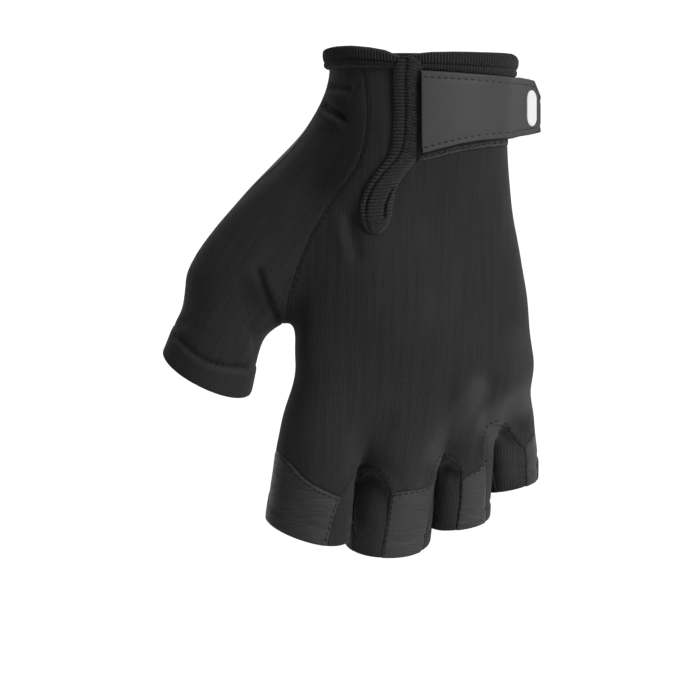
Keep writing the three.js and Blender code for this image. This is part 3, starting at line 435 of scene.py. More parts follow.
def reaches(p, n, panel=None):
    """For each panel, or for one, how far a point is inside its edge along the surface, in millimetres."""
    q = front(p)
    side = border(p) / np.sqrt(np.maximum(1 - n[:, 1] ** 2, 0.08))
    out = {"palm_panel": side}
    if panel == "palm_panel":
        return out
    back = -side
    for name, poly in ZONE.items():
        if panel in ZONE and name != panel:
            continue
        d, way = zone_distance(q, poly)
        across = n[:, 0] * way[:, 0] + n[:, 2] * way[:, 1]
        d = d / np.sqrt(np.maximum(1 - across**2, 0.06))
        out[name] = np.minimum(d, -side)
        back = np.minimum(back, -d)
    out["back_panel"] = back
    return out


def beyond(p):
    """How far a point is past the end of its sleeve or over the wrist edge; negative on the glove."""
    def plane(at, tilt):
        return (at[2] + tilt[0] * (p[:, 0] - at[0]) + tilt[1] * (p[:, 1] - at[1]) - p[:, 2]) / math.sqrt(1 + tilt[0] ** 2 + tilt[1] ** 2)
    g = np.stack([fingers[k](p) for k in ORDER])
    own = np.argmin(g, 0)
    planes = np.stack([plane(FINGERS[k][1], FINGERS[k][2]) for k in ORDER])
    out = np.where(p[:, 2] > -126, -50.0, planes[own, np.arange(len(p))])
    th = plane(*THUMB_END)
    out = np.maximum(out, np.where((p[:, 0] < -47) & (p[:, 2] > -126) & (thumb(p) < g.min(0)), th, -50.0))
    return np.maximum(out, p[:, 2] - 1.6)


def cut(V, T, s, keep=True, eps=0.03):
    """Triangles split where s crosses nought; keeps the positive side, or both. Returns vertices and triangles."""
    s = np.where(np.abs(s) < eps, 0.0, s)
    pos, neg = s > 0, s < 0
    tp, tn = pos[T], neg[T]
    mixed = tp.any(1) & tn.any(1)
    whole = T[~mixed & (tp.any(1) if keep else True)]
    M = T[mixed]
    e = np.concatenate([M[:, [0, 1]], M[:, [1, 2]], M[:, [2, 0]]])
    crossing = (s[e[:, 0]] * s[e[:, 1]]) < 0
    key = np.sort(e, 1)
    code = key[:, 0] * len(V) + key[:, 1]
    uniq, inv = np.unique(code[crossing], return_inverse=True)
    a, b = uniq // len(V), uniq % len(V)
    t = s[a] / (s[a] - s[b])
    new = V[a] + t[:, None] * (V[b] - V[a])
    ids = -np.ones(len(e), np.int64)
    ids[crossing] = inv + len(V)
    ids = ids.reshape(3, -1).T  # cut vertex on edges 01, 12, 20
    out = [whole]
    for r in range(3):
        i, j, k = r, (r + 1) % 3, (r + 2) % 3
        A, B, C = M[:, i], M[:, j], M[:, k]
        ab, bc, ca = ids[:, i], ids[:, j], ids[:, k]
        sa, sb, sc = s[A], s[B], s[C]
        for sign in ((1, -1) if not keep else (1,)):
            one = (sa * sign > 0) & (sb * sign < 0) & (sc * sign < 0)  # a corner on this side
            out.append(np.stack([A, ab, ca], 1)[one])
            two = (sa * sign < 0) & (sb * sign > 0) & (sc * sign > 0)  # a corner on the other side
            out.append(np.stack([ab, B, C], 1)[two])
            out.append(np.stack([ab, C, ca], 1)[two])
            zero = (sa == 0) & (sb * sign > 0) & (sc * sign < 0)
            out.append(np.stack([A, B, bc], 1)[zero])
            zero = (sa == 0) & (sb * sign < 0) & (sc * sign > 0)
            out.append(np.stack([A, bc, C], 1)[zero])
    V = np.concatenate([V, new])
    T = np.concatenate(out)
    used, T = np.unique(T, return_inverse=True)
    return V[used], T.reshape(-1, 3)


def islands(T, count):
    """Component number of each vertex."""
    lab = np.arange(count)
    E = edges_of(T)
    while True:
        m = np.minimum(lab[E[:, 0]], lab[E[:, 1]])
        new = lab.copy()
        np.minimum.at(new, E[:, 0], m)
        np.minimum.at(new, E[:, 1], m)
        new = new[new]
        if (new == lab).all():
            return lab
        lab = new


def largest_island(V, T, least=60):
    lab = islands(T, len(V))[T[:, 0]]
    names, counts = np.unique(lab, return_counts=True)
    keep = names[counts >= min(least, counts.max())]
    T = T[np.isin(lab, keep)]
    used, T = np.unique(T, return_inverse=True)
    return V[used], T.reshape(-1, 3)


def vertex_normals(V, T):
    f = np.cross(V[T[:, 1]] - V[T[:, 0]], V[T[:, 2]] - V[T[:, 0]])
    n = np.zeros_like(V)
    for k in range(3):
        for c in range(3):
            n[:, c] += np.bincount(T[:, k], f[:, c], len(V))
    return unit(n)


def laid_out(V, T, t):
    """Length along the unit directions t over the cloth, by least squares over its edges."""
    E = edges_of(T)
    i, j = E[:, 0], E[:, 1]
    want = ((V[j] - V[i]) * (t[i] + t[j]) / 2).sum(1)
    rhs = np.bincount(j, want, len(V)) - np.bincount(i, want, len(V))
    deg = np.bincount(E.ravel(), minlength=len(V)).astype(float)
    u = V @ unit(t.mean(0))

    def mul(x):
        d = x[j] - x[i]
        return np.bincount(j, d, len(V)) - np.bincount(i, d, len(V)) + 1e-6 * x

    r = rhs - mul(u)
    z = r / deg
    p, rz = z.copy(), r @ z
    for _ in range(260):
        q = mul(p)
        a = rz / max(p @ q, 1e-30)
        u += a * p
        r -= a * q
        z = r / deg
        new = r @ z
        if new < 1e-9:
            break
        p = z + (new / rz) * p
        rz = new
    return u


# ---- Blender meshes -------------------------------------------------------------------------
def make_mesh(name, V, faces, materials, face_material=None, cloth=None, flat_angle=50, extra=None):
    """faces: lists of equal-sided index arrays. V in millimetres."""
    me = bpy.data.meshes.new(name)
    me.vertices.add(len(V))
    me.vertices.foreach_set("co", (np.asarray(V, float) * MM).astype(np.float32).ravel())
    groups = [np.asarray(f, np.int32) for f in faces if len(f)]
    loops = np.concatenate([g.ravel() for g in groups])
    sizes = np.concatenate([np.full(len(g), g.shape[1], np.int32) for g in groups])
    me.loops.add(len(loops))
    me.loops.foreach_set("vertex_index", loops)
    me.polygons.add(len(sizes))
    me.polygons.foreach_set("loop_start", np.r_[0, np.cumsum(sizes)[:-1]].astype(np.int32))
    me.polygons.foreach_set("use_smooth", np.ones(len(sizes), bool))
    for m in materials:
        me.materials.append(m)
    if face_material is not None:
        me.polygons.foreach_set("material_index", np.asarray(face_material, np.int32))
    if cloth is not None:
        a = me.attributes.new("cloth_uv", "FLOAT_VECTOR", "POINT")
        a.data.foreach_set("vector", np.c_[cloth, np.zeros(len(cloth))].astype(np.float32).ravel())
    for key, values in (extra or {}).items():
        a = me.attributes.new(key, "FLOAT", "POINT")
        a.data.foreach_set("value", np.asarray(values, np.float32))
    me.update(calc_edges=True)
    me.validate()
    if flat_angle:
        me.set_sharp_from_angle(angle=math.radians(flat_angle))
    o = bpy.data.objects.new(name, me)
    scene.collection.objects.link(o)
    return o


def rim_edges(T):
    """Directed edges of the open boundary."""
    e = np.concatenate([T[:, [0, 1]], T[:, [1, 2]], T[:, [2, 0]]])
    n = T.max() + 1
    code, back = e[:, 0] * n + e[:, 1], e[:, 1] * n + e[:, 0]
    return e[~np.isin(code, back)]


def shell(name, V, inner, T, materials, cloth, **kw):
    """Closed piece: the outer surface, an inner one under it, and a rim."""
    n = len(V)
    rim = rim_edges(T)
    sides = np.stack([rim[:, 1], rim[:, 0], rim[:, 0] + n, rim[:, 1] + n], 1)
    return make_mesh(name, np.concatenate([V, inner]), [T, T[:, ::-1] + n, sides], materials, cloth=None if cloth is None else np.concatenate([cloth, cloth]), **kw)


def attach(o, slot, *nodes):
    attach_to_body(o, "root")
    if nodes:
        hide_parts(*nodes)
    return o


def grid_faces(rows, cols, start=0, wrap=False, flip=False):
    r, c = np.meshgrid(np.arange(rows if wrap else rows - 1), np.arange(cols - 1), indexing="ij")
    a = (r * cols + c).ravel()
    b = (r * cols + c + 1).ravel()
    d = (((r + 1) % rows) * cols + c).ravel()
    e = (((r + 1) % rows) * cols + c + 1).ravel()
    q = np.stack([a, b, e, d], 1) + start
    return q[:, ::-1] if flip else q


def slab(name, top, low, materials, face_material=None, cloth=None, flip=False, **kw):
    """Closed piece between two equal grids of points."""
    R, C = top.shape[:2]
    V = np.concatenate([top.reshape(-1, 3), low.reshape(-1, 3)])
    n = R * C
    t, b = grid_faces(R, C, 0, flip=flip), grid_faces(R, C, n, flip=not flip)
    i = np.arange(R * C).reshape(R, C)
    ring = np.concatenate([i[0, :], i[1:, -1], i[-1, :-1][::-1], i[1:-1, 0][::-1]])
    nxt = np.roll(ring, -1)
    s = np.stack([nxt, ring, ring + n, nxt + n], 1)
    if flip:
        s = s[:, ::-1]
    fm = None
    if face_material is not None:
        fm = np.concatenate([face_material, np.ones(len(b) + len(s), int)])
    if cloth is not None:
        cloth = np.concatenate([cloth.reshape(-1, 2), cloth.reshape(-1, 2)])
    return make_mesh(name, V, [t, b, s], materials, face_material=fm, cloth=cloth, **kw)


# ---- materials ---------------------------------------------------------------------------------
class Nodes:
    """Short names for building a node tree."""

    def __init__(self, name, **fixed):
        self.m = bpy.data.materials.new(name)
        self.m.use_nodes = True
        self.t = self.m.node_tree
        self.shader = self.t.nodes["Principled BSDF"]
        for k, v in fixed.items():
            self.shader.inputs[k.replace("_", " ")].default_value = v

    def _in(self, socket, value):
        if isinstance(value, bpy.types.NodeSocket):
            self.t.links.new(value, socket)
        else:
            socket.default_value = value

    def math(self, op, a, b=0.0, c=0.0):
        n = self.t.nodes.new("ShaderNodeMath")
        n.operation = op
        for s, v in zip(n.inputs, (a, b, c)):
            self._in(s, v)
        return n.outputs[0]

    def cloth(self):
        n = self.t.nodes.new("ShaderNodeAttribute")
        n.attribute_name = "cloth_uv"
        x = self.t.nodes.new("ShaderNodeSeparateXYZ")
        self.t.links.new(n.outputs["Vector"], x.inputs[0])
        return n.outputs["Vector"], x.outputs[0], x.outputs[1]

    def place(self):
        return self.t.nodes.new("ShaderNodeTexCoord").outputs["Object"]

    def scaled(self, vector, s):
        n = self.t.nodes.new("ShaderNodeVectorMath")
        n.operation = "MULTIPLY"
        self.t.links.new(vector, n.inputs[0])
        n.inputs[1].default_value = s
        return n.outputs[0]

    def noise(self, vector, scale, detail=3.0, rough=0.55):
        n = self.t.nodes.new("ShaderNodeTexNoise")
        self.t.links.new(vector, n.inputs["Vector"])
        n.inputs["Scale"].default_value = scale
        n.inputs["Detail"].default_value = detail
        n.inputs["Roughness"].default_value = rough
        return n.outputs["Fac"]

    def cells(self, vector, scale):
        n = self.t.nodes.new("ShaderNodeTexVoronoi")
        n.feature = "DISTANCE_TO_EDGE"
        self.t.links.new(vector, n.inputs["Vector"])
        n.inputs["Scale"].default_value = scale
        return n.outputs["Distance"]

    def between(self, x, a, b, c, d):
        n = self.t.nodes.new("ShaderNodeMapRange")
        n.clamp = True
        for s, v in zip(n.inputs, (x, a, b, c, d)):
            self._in(s, v)
        return n.outputs[0]

    def blend(self, f, a, b):
        n = self.t.nodes.new("ShaderNodeMix")
        n.data_type = "RGBA"
        self._in(n.inputs[0], f)
        for s, v in ((n.inputs[6], a), (n.inputs[7], b)):
            if isinstance(v, tuple):
                s.default_value = (*v, 1)
            else:
                self._in(s, v)
        return n.outputs[2]

    def bump(self, height, distance, strength=1.0):
        n = self.t.nodes.new("ShaderNodeBump")
        n.inputs["Strength"].default_value = strength
        n.inputs["Distance"].default_value = distance
        self._in(n.inputs["Height"], height)
        self._in(self.shader.inputs["Normal"], n.outputs[0])

    def colour(self, c):
        self._in(self.shader.inputs["Base Color"], c)

    def rough(self, r):
        self._in(self.shader.inputs["Roughness"], r)


TAU = 2 * math.pi


def knit(name, dark, light, rib=0.8, course=0.62, deep=0.00013, sheen=0.10):
    """Stretch knit with fine ribs along the glove."""
    k = Nodes(name, Specular_IOR_Level=0.16, Sheen_Weight=sheen, Sheen_Roughness=0.45)
    vec, u, v = k.cloth()
    warp = k.math("MULTIPLY", k.math("SUBTRACT", k.noise(vec, 0.12, 2.0), 0.5), 1.1)
    ribs = k.math("SINE", k.math("MULTIPLY", k.math("ADD", u, warp), TAU / rib))
    rows = k.math("SINE", k.math("ADD", k.math("MULTIPLY", v, TAU / course), k.math("MULTIPLY", ribs, 1.1)))
    fine = k.noise(vec, 2.6, 3.0, 0.7)
    grit = k.noise(vec, 1.1, 3.0, 0.7)
    height = k.math("ADD", k.math("MULTIPLY", ribs, k.between(grit, 0.3, 0.7, 0.12, 0.5)), k.math("ADD", k.math("MULTIPLY", rows, 0.22), k.math("MULTIPLY", fine, 1.0)))
    streak = k.noise(k.scaled(vec, (1.0, 0.06, 1.0)), 0.55, 3.0)
    slow = k.noise(k.place(), 26.0, 2.0)
    mixf = k.math("ADD", k.math("MULTIPLY", k.between(height, -0.5, 1.5, 0.0, 1.0), 0.8), k.math("ADD", k.math("MULTIPLY", streak, 0.45), k.math("SUBTRACT", k.math("MULTIPLY", slow, 0.3), 0.36)))
    # painted highlights over the knuckles and painted shade in creases, with some lightening where the cloth stretches,
    # read from a mesh attribute and added to the colour mix
    stretch_and_painted_light_attr = k.t.nodes.new("ShaderNodeAttribute")
    stretch_and_painted_light_attr.attribute_name = "stretch_and_painted_light"
    mixf = k.math("ADD", mixf, stretch_and_painted_light_attr.outputs["Fac"])
    k.colour(k.blend(mixf, dark, light))
    k.rough(k.between(fine, 0.2, 0.8, 0.70, 0.9))
    k.bump(height, deep, 0.9)
    return k.m


def brushed(name, dark, light):
    """Brushed cap cloth with fine streaks across the finger."""
    k = Nodes(name, Specular_IOR_Level=0.28, Sheen_Weight=0.2, Sheen_Roughness=0.35)
    vec, u, v = k.cloth()
    streak = k.noise(k.scaled(vec, (0.16, 1.9, 1.0)), 1.0, 5.0, 0.72)
    broad = k.noise(k.scaled(vec, (0.1, 0.5, 1.0)), 1.0, 2.0)
    weave = k.math("MULTIPLY", k.math("SINE", k.math("MULTIPLY", v, TAU / 0.55)), 0.5)
    cross = k.math("MULTIPLY", k.math("SINE", k.math("MULTIPLY", u, TAU / 0.5)), 0.3)
    height = k.math("ADD", k.math("MULTIPLY", streak, 2.2), k.math("ADD", weave, cross))
    mixf = k.math("ADD", k.math("MULTIPLY", k.between(streak, 0.3, 0.72, 0.0, 1.0), 0.6), k.math("ADD", k.math("MULTIPLY", broad, 0.3), k.math("MULTIPLY", weave, 0.12)))
    # painted highlights and painted shade, with stretch lightening, from a mesh attribute added to the cap cloth's
    # colour mix
    stretch_and_painted_light_attr = k.t.nodes.new("ShaderNodeAttribute")
    stretch_and_painted_light_attr.attribute_name = "stretch_and_painted_light"
    mixf = k.math("ADD", mixf, stretch_and_painted_light_attr.outputs["Fac"])
    k.colour(k.blend(mixf, dark, light))
    k.rough(k.between(streak, 0.3, 0.7, 0.62, 0.42))
    k.bump(height, 0.00006, 0.8)
    return k.m


def leather(name, dark, light):
    """Fine-grained leather."""
    k = Nodes(name, Specular_IOR_Level=0.35)
    vec = k.place()
    grain = k.cells(vec, 950.0)
    broad = k.noise(vec, 60.0, 4.0)
    pores = k.noise(vec, 1500.0, 2.0)
    height = k.math("ADD", k.between(grain, 0.0, 0.25, 0.0, 1.0), k.math("MULTIPLY", pores, 0.4))
    k.colour(k.blend(k.math("ADD", k.math("MULTIPLY", broad, 0.7), k.math("MULTIPLY", grain, 0.8)), dark, light))
    k.rough(k.between(broad, 0.3, 0.7, 0.5, 0.68))
    k.bump(height, 0.00012, 0.8)
    return k.m


def ribbed(name, dark, light, mesh=0.75):
    """Knitted binding: the ribs are modelled, the loops between them are here."""
    k = Nodes(name, Specular_IOR_Level=0.12, Sheen_Weight=0.15, Sheen_Roughness=0.5)
    vec, u, v = k.cloth()
    loops = k.math("MULTIPLY", k.math("SINE", k.math("MULTIPLY", u, TAU / mesh)), k.math("SINE", k.math("MULTIPLY", v, TAU / mesh)))
    fuzz = k.noise(vec, 3.2, 4.0, 0.75)
    height = k.math("ADD", k.math("MULTIPLY", loops, 0.6), k.math("MULTIPLY", fuzz, 2.2))
    # painted light from a mesh attribute: rib crests lighter, painted shade in the grooves, folds, slit and along the
    # edges
    rib_tone_and_painted_shade_attr = k.t.nodes.new("ShaderNodeAttribute")
    rib_tone_and_painted_shade_attr.attribute_name = "stretch_and_painted_light"
    k.colour(k.blend(k.math("ADD", k.between(height, 0.3, 2.0, 0.0, 1.0), rib_tone_and_painted_shade_attr.outputs["Fac"]), dark, light))
    k.rough(0.9)
    k.bump(height, 0.00012, 1.0)
    return k.m


def coated(name, dark, light):
    """Smooth coated face with a faint grain."""
    k = Nodes(name, Specular_IOR_Level=0.2)
    vec = k.place()
    broad = k.noise(vec, 45.0, 3.0)
    grain = k.noise(vec, 2600.0, 2.0)
    k.colour(k.blend(k.math("ADD", k.math("MULTIPLY", broad, 0.6), k.math("MULTIPLY", grain, 0.4)), dark, light))
    k.rough(k.between(broad, 0.3, 0.7, 0.5, 0.58))
    k.bump(grain, 0.00002, 0.6)
    return k.m


def pile(name, dark, light):
    """Loop pile."""
    k = Nodes(name, Specular_IOR_Level=0.12, Sheen_Weight=0.25, Sheen_Roughness=0.5)
    vec = k.place()
    loops = k.cells(vec, 1500.0)
    fuzz = k.noise(vec, 2400.0, 3.0, 0.7)
    height = k.math("ADD", k.between(loops, 0.0, 0.3, 0.0, 1.0), fuzz)
    k.colour(k.blend(k.between(height, 0.4, 1.5, 0.0, 1.0), dark, light))
    k.rough(0.92)
    k.bump(height, 0.0002, 1.0)
    return k.m


def thread(name, dark, light):
    """Twisted sewing thread."""
    k = Nodes(name, Specular_IOR_Level=0.3)
    n = k.noise(k.place(), 3500.0, 2.0)
    k.colour(k.blend(n, dark, light))
    k.rough(0.6)
    k.bump(n, 0.00003, 0.7)
    return k.m


BACK = knit("back_knit", (0.0075, 0.0075, 0.0077), (0.047, 0.047, 0.0477))
SIDE = knit("gusset_knit", (0.0085, 0.0085, 0.0087), (0.052, 0.052, 0.0527), rib=0.9, course=0.9)
CAP = brushed("cap_cloth", (0.011, 0.011, 0.0112), (0.070, 0.070, 0.0705))
PALM_LEATHER = leather("palm_leather", (0.010, 0.010, 0.011), (0.024, 0.024, 0.026))
TAPE = ribbed("ribbed_tape", (0.0035, 0.0035, 0.0037), (0.042, 0.042, 0.0425))
STRAP = coated("strap_face", (0.056, 0.056, 0.0565), (0.058, 0.058, 0.0585))
EDGE = coated("strap_edge", (0.006, 0.006, 0.0065), (0.011, 0.011, 0.012))
PILE = pile("loop_pile", (0.012, 0.012, 0.013), (0.045, 0.045, 0.047))
WHITE = coated("patch_white", (0.76, 0.76, 0.75), (0.84, 0.84, 0.83))
THREAD = thread("thread_black", (0.0015, 0.0015, 0.0016), (0.006, 0.006, 0.0062))

# ---- soft shape of the cloth: folds and dents as lines in the front view -----------------------
# points (photograph pixels), half width, height; a minus height is a dent
FOLDS = [
    ([(259, 270), (262, 281), (266, 293), (271, 306), (277, 317)], 1.1, -0.8),
    ([(253, 280), (257, 296), (261, 312)], 2.6, 0.55),
    ([(268, 280), (272, 292), (277, 304)], 1.6, 0.3),
    ([(349, 217), (351, 236), (356, 254)], 2.4, -0.9),
    ([(340, 222), (343, 240), (347, 256)], 2.6, 0.5),
    ([(322, 103), (331, 110), (343, 118)], 1.5, -1.2),
    ([(318, 112), (328, 119), (338, 124)], 1.7, 0.8),
    ([(316, 82), (330, 86), (348, 88)], 1.5, -1.0),
    ([(316, 90), (332, 95), (346, 96)], 1.6, 0.7),
    ([(254, 326), (262, 330), (268, 331)], 1.2, 0.6),
    ([(452, 392), (446, 420), (440, 446)], 3.4, -0.7),
    ([(492, 382), (488, 404), (489, 424)], 3.0, -0.8),
    ([(470, 400), (466, 430), (462, 452)], 5.0, 0.8),
    ([(360, 440), (364, 456), (368, 468)], 3.4, -0.5),
    ([(400, 420), (404, 450), (408, 478)], 6.0, 0.6),
    ([(200, 330), (222, 338), (244, 344)], 3.0, 0.45),
    ([(186, 322), (210, 334), (232, 340)], 1.8, -0.4),
    ([(487, 466), (504, 468.5), (520, 466.5)], 0.8, -0.45),
    ([(489, 438), (500, 436), (512, 428)], 1.3, 0.5),
    ([(441, 462), (449, 459), (455, 466)], 1.0, 0.5),
    ([(252, 330), (256, 342), (256, 352)], 1.8, -0.4),
]
FOLD_LINES = [(spline(photo(p)), w, h) for p, w, h in FOLDS]


def folds(p, n):
    q = front(p)
    facing = smooth(0.1, 0.5, -n[:, 1])
    out = np.zeros(len(p))
    for line, w, h in FOLD_LINES:
        near = (np.abs(q - (line.min(0) + line.max(0)) / 2) < (line.max(0) - line.min(0)) / 2 + 3 * w).all(1)
        d, _ = line_distance(q[near], line)
        out[near] += 1.5 * h * np.exp(-((d / w) ** 2)) * facing[near]
    return out


# painted light in the cloth colour: a plus share is a painted highlight (over the knuckles also some real lightening
# where the cloth stretches), a minus share is painted shade in creases, hollows and away from the key light; points
# (photograph pixels), half width, share of lightening
STRETCH_AND_PAINTED_LIGHT = [
    ([(478, 388), (458, 420), (438, 456)], 3.6, 0.75),
    ([(528, 400), (508, 408), (490, 426)], 4.2, 0.75),
    ([(176, 334), (184, 341), (196, 352), (210, 360), (223, 363.5), (238, 365), (248, 366)], 0.75, -0.32),
    ([(176, 339), (182, 347), (194, 358), (208, 366), (222, 369.5), (238, 371), (246, 372)], 0.9, 0.32),
    ([(259, 270), (262, 281), (266, 293), (271, 306), (277, 317)], 0.75, -0.4),
    ([(322, 103), (331, 110), (343, 118)], 1.3, -0.16),
    ([(316, 82), (330, 86), (348, 88)], 1.3, -0.14),
    ([(285, 480), (305, 520)], 11.0, -0.12),
    ([(408, 490), (410, 545)], 6.5, 0.18),
    ([(476, 475), (480, 520)], 5.5, 0.26),
    ([(500, 440), (508, 455), (512, 470)], 5.0, 0.35),
    ([(448, 480), (452, 500), (455, 515)], 4.0, 0.25),
    ([(375, 500), (385, 520), (385, 545)], 5.0, 0.2),
    ([(522, 340), (524, 370), (527, 396)], 5.0, 0.25),
    ([(395, 448), (404, 466), (410, 484)], 6.0, 0.15),
    ([(430, 240), (450, 300), (470, 360)], 16.0, 0.10),
    ([(330, 90), (345, 140), (330, 180)], 8.0, -0.3),
    ([(345, 250), (352, 300), (360, 350)], 10.0, -0.08),
    ([(262, 290), (270, 308), (276, 324)], 4.0, -0.25),
]
STRETCH_AND_PAINTED_LIGHT_LINES = [(spline(photo(p)), w, h) for p, w, h in STRETCH_AND_PAINTED_LIGHT]


# sum of the painted highlight and painted shade lines, with the stretch lightening over the knuckles
def stretch_and_painted_light(p):
    q = front(p)
    out = np.zeros(len(p))
    for line, w, h in STRETCH_AND_PAINTED_LIGHT_LINES:
        d, _ = line_distance(q, line)
        out += h * np.exp(-((d / w) ** 2))
    return out


def lump(p, seed=3, size=17.0, high=0.22):
    """Slow unevenness of worn cloth."""
    rng = np.random.default_rng(seed)
    out = np.zeros(len(p))
    for _ in range(9):
        k = rng.normal(size=3)
        k = k / np.linalg.norm(k) * TAU / (size * rng.uniform(0.7, 1.6))
        out += np.sin(p @ k + rng.uniform(0, TAU))
    return out * high / 3


# panel: material, slot, height over the form, rounded edge width and depth
PANELS = {
    "back_panel": (BACK, "back_knit", 0.0, 1.3, 0.42),
    "thumb_panel": (BACK, "back_knit", 0.0, 1.2, 0.42),
    "palm_panel": (PALM_LEATHER, "palm_leather", 0.05, 1.1, 0.45),
    "index_cap": (CAP, "cap_cloth", 0.32, 0.9, 0.5),
    "middle_cap": (CAP, "cap_cloth", 0.32, 0.9, 0.5),
    "ring_cap": (CAP, "cap_cloth", 0.32, 0.9, 0.5),
    "little_cap": (CAP, "cap_cloth", 0.32, 0.9, 0.5),
    "gusset_index_middle": (SIDE, "back_knit", -0.1, 0.9, 0.4),
    "gusset_middle_ring": (SIDE, "back_knit", -0.1, 0.9, 0.4),
    "gusset_ring_little": (SIDE, "back_knit", -0.1, 0.9, 0.4),
}
# arch over each gusset: outline, how deep the gusset lies behind it, how far down that fades
HOODS = {
    "gusset_index_middle": ("index_arch", 3.2, 9.0),
    "gusset_middle_ring": ("middle_arch", 3.0, 6.0),
    "gusset_ring_little": ("ring_arch", 2.6, 6.0),
}
WALL_MM = 1.3
HALF_SEAM = 0.012


def shaped(name, V, T):
    """Moves a panel's outer surface to its finished place. Returns vertices and normals."""
    g, _ = slope(body, V)
    n = unit(g)
    reach = reaches(V, n, name)[name]
    over = beyond(V)
    _, _, high, wide, deep = PANELS[name]
    edge = np.clip(np.minimum(reach - HALF_SEAM, 9), 0, None)
    off = -deep * (1 - np.sqrt(np.clip(1 - (1 - np.clip(edge / wide, 0, 1)) ** 2, 0, 1)))
    end = np.clip(-over, 0, None)
    wrist = V[:, 2] > -3
    end = np.where(wrist, 9, end)
    off += -0.5 * (1 - np.sqrt(np.clip(1 - (1 - np.clip(end / 0.8, 0, 1)) ** 2, 0, 1)))
    off += high + folds(V, n) + lump(V)
    # sleeve ends: a turned hem stands a little proud and draws in behind its stitches
    hem = 0.22 * smooth(5.2, 4.2, end) - 0.28 * np.exp(-(((end - 5.4) / 0.8) ** 2))
    if name == "thumb_panel" or name == "palm_panel":
        hem_at = 8.2
        hem = 0.25 * smooth(hem_at, hem_at - 1.0, end) - 0.3 * np.exp(-(((end - hem_at) / 0.9) ** 2))
    off += np.where(V[:, 2] < -60, hem, 0)
    q = front(V)
    shift = np.zeros_like(V)
    for gusset, (arch, low, fade) in HOODS.items():
        d, _ = line_distance(q, LINE[arch])
        if name == gusset:
            top = LINE[arch][:, 1].max()
            shift[:, 1] += low * smooth(0.15, 2.6, d) * np.exp(-(((top - V[:, 2]) / fade) ** 2)) * smooth(0.0, 0.6, -n[:, 1] + 0.25)
        elif name == "back_panel":
            off += 0.45 * np.exp(-((d / 1.5) ** 2)) - 0.25 * np.exp(-(((d - 3.6) / 1.6) ** 2))
    # small puckers along the thumb seam
    if name in ("back_panel", "thumb_panel"):
        d, _ = line_distance(q, LINE["thumb"])
        s = V[:, 2] * 1.15
        off += 0.07 * np.sin(TAU * s / 4.4) * np.exp(-((d / 2.2) ** 2))
    return V + n * off[:, None] + shift, V - n * WALL_MM + shift, n


base_reach = reaches(base_V, unit(slope(body, base_V)[0]))
base_over = beyond(base_V)
outer_V, outer_T, offset = [], [], 0
report = {}
for name in PANELS:
    V, T = base_V, base_T
    keep = (base_reach[name][T] > -3).any(1) & (base_over[T] < 3).any(1)
    used, T = np.unique(T[keep], return_inverse=True)
    V, T = V[used], T.reshape(-1, 3)
    over = beyond(V)
    V, T = cut(V, T, -over)
    _, _, _, wide, _ = PANELS[name]
    for level, keeping in ((HALF_SEAM, True), (HALF_SEAM + wide, False), (HALF_SEAM + wide * 0.3, False), (HALF_SEAM + wide * 0.08, False)):
        g, _ = slope(body, V)
        reach = reaches(V, unit(g), name)[name]
        V, T = cut(V, T, reach - level, keep=keeping)
    for level in (0.8, 0.25):
        V, T = cut(V, T, -beyond(V) - level, keep=False)
    V, T = largest_island(V, T)
    P, inner, N = shaped(name, V, T)
    m, slot, *_ = PANELS[name]
    around = unit(np.cross(N, np.array([0.0, 0.0, 1.0])))
    if name == "thumb_panel":
        around = unit(np.cross(N, -np.array(THUMB_AXIS)))
    if name.endswith("cap") or name.startswith("gusset"):
        f = {"index": "index", "middle": "middle", "ring": "ring", "little": "little"}.get(name.split("_")[0], name.split("_")[-1])
        axis = unit(np.array(FINGERS[f][0]) - np.array(FINGERS[f][1]))
        around = unit(np.cross(N, axis))
    along = np.cross(around, N)
    cloth = np.stack([laid_out(V, T, around), laid_out(V, T, along)], 1)
    # painted highlights and painted shade, with stretch lightening, kept as a mesh attribute for the cloth colour
    stretch_and_painted_light_values = stretch_and_painted_light(V)
    o = shell(name, P, inner, T, [m], cloth, extra={"stretch_and_painted_light": np.r_[stretch_and_painted_light_values, stretch_and_painted_light_values]})
    attach(o, slot, name)
    outer_V.append(P)
    outer_T.append(T + offset)
    offset += len(P)
    report[name] = (len(T) * 2, len(rim_edges(T)))
print("panels", report)
skin_V, skin_T = np.concatenate(outer_V), np.concatenate(outer_T)
skin = BVHTree.FromPolygons([tuple(v) for v in skin_V], [tuple(int(i) for i in t) for t in skin_T])


def on_skin(x, z):
    """Point and normal where a line along +Y first meets the panels."""
    hit, normal, _, _ = skin.ray_cast(Vector((x, -80, z)), Vector((0, 1, 0)))
    if hit is None:
        return None
    if normal.y > 0:
        normal = -normal
    return np.array(hit), np.array(normal)


def on_back(x, z):
    """Points of the plain hand form behind x and z, and their outward normals (arrays)."""
    x, z = np.broadcast_arrays(np.asarray(x, float), np.asarray(z, float))
    shape = x.shape
    x, z = x.ravel(), z.ravel()
    lo = np.full(x.shape, -32.0)
    hi = lo.copy()
    found = np.zeros(x.shape, bool)
    for y in np.arange(-31.0, 45.0, 1.5):
        v = body(np.stack([x, np.full(x.shape, y), z], -1))
        new = (v < 0) & ~found
        hi[new] = y
        lo[new] = y - 1.5
        found |= new
    for _ in range(14):
        mid = (lo + hi) / 2
        v = body(np.stack([x, mid, z], -1))
        lo = np.where(v > 0, mid, lo)
        hi = np.where(v > 0, hi, mid)
    p = np.stack([x, hi, z], -1)
    g, _ = slope(body, p)
    return p.reshape(*shape, 3), unit(g).reshape(*shape, 3)


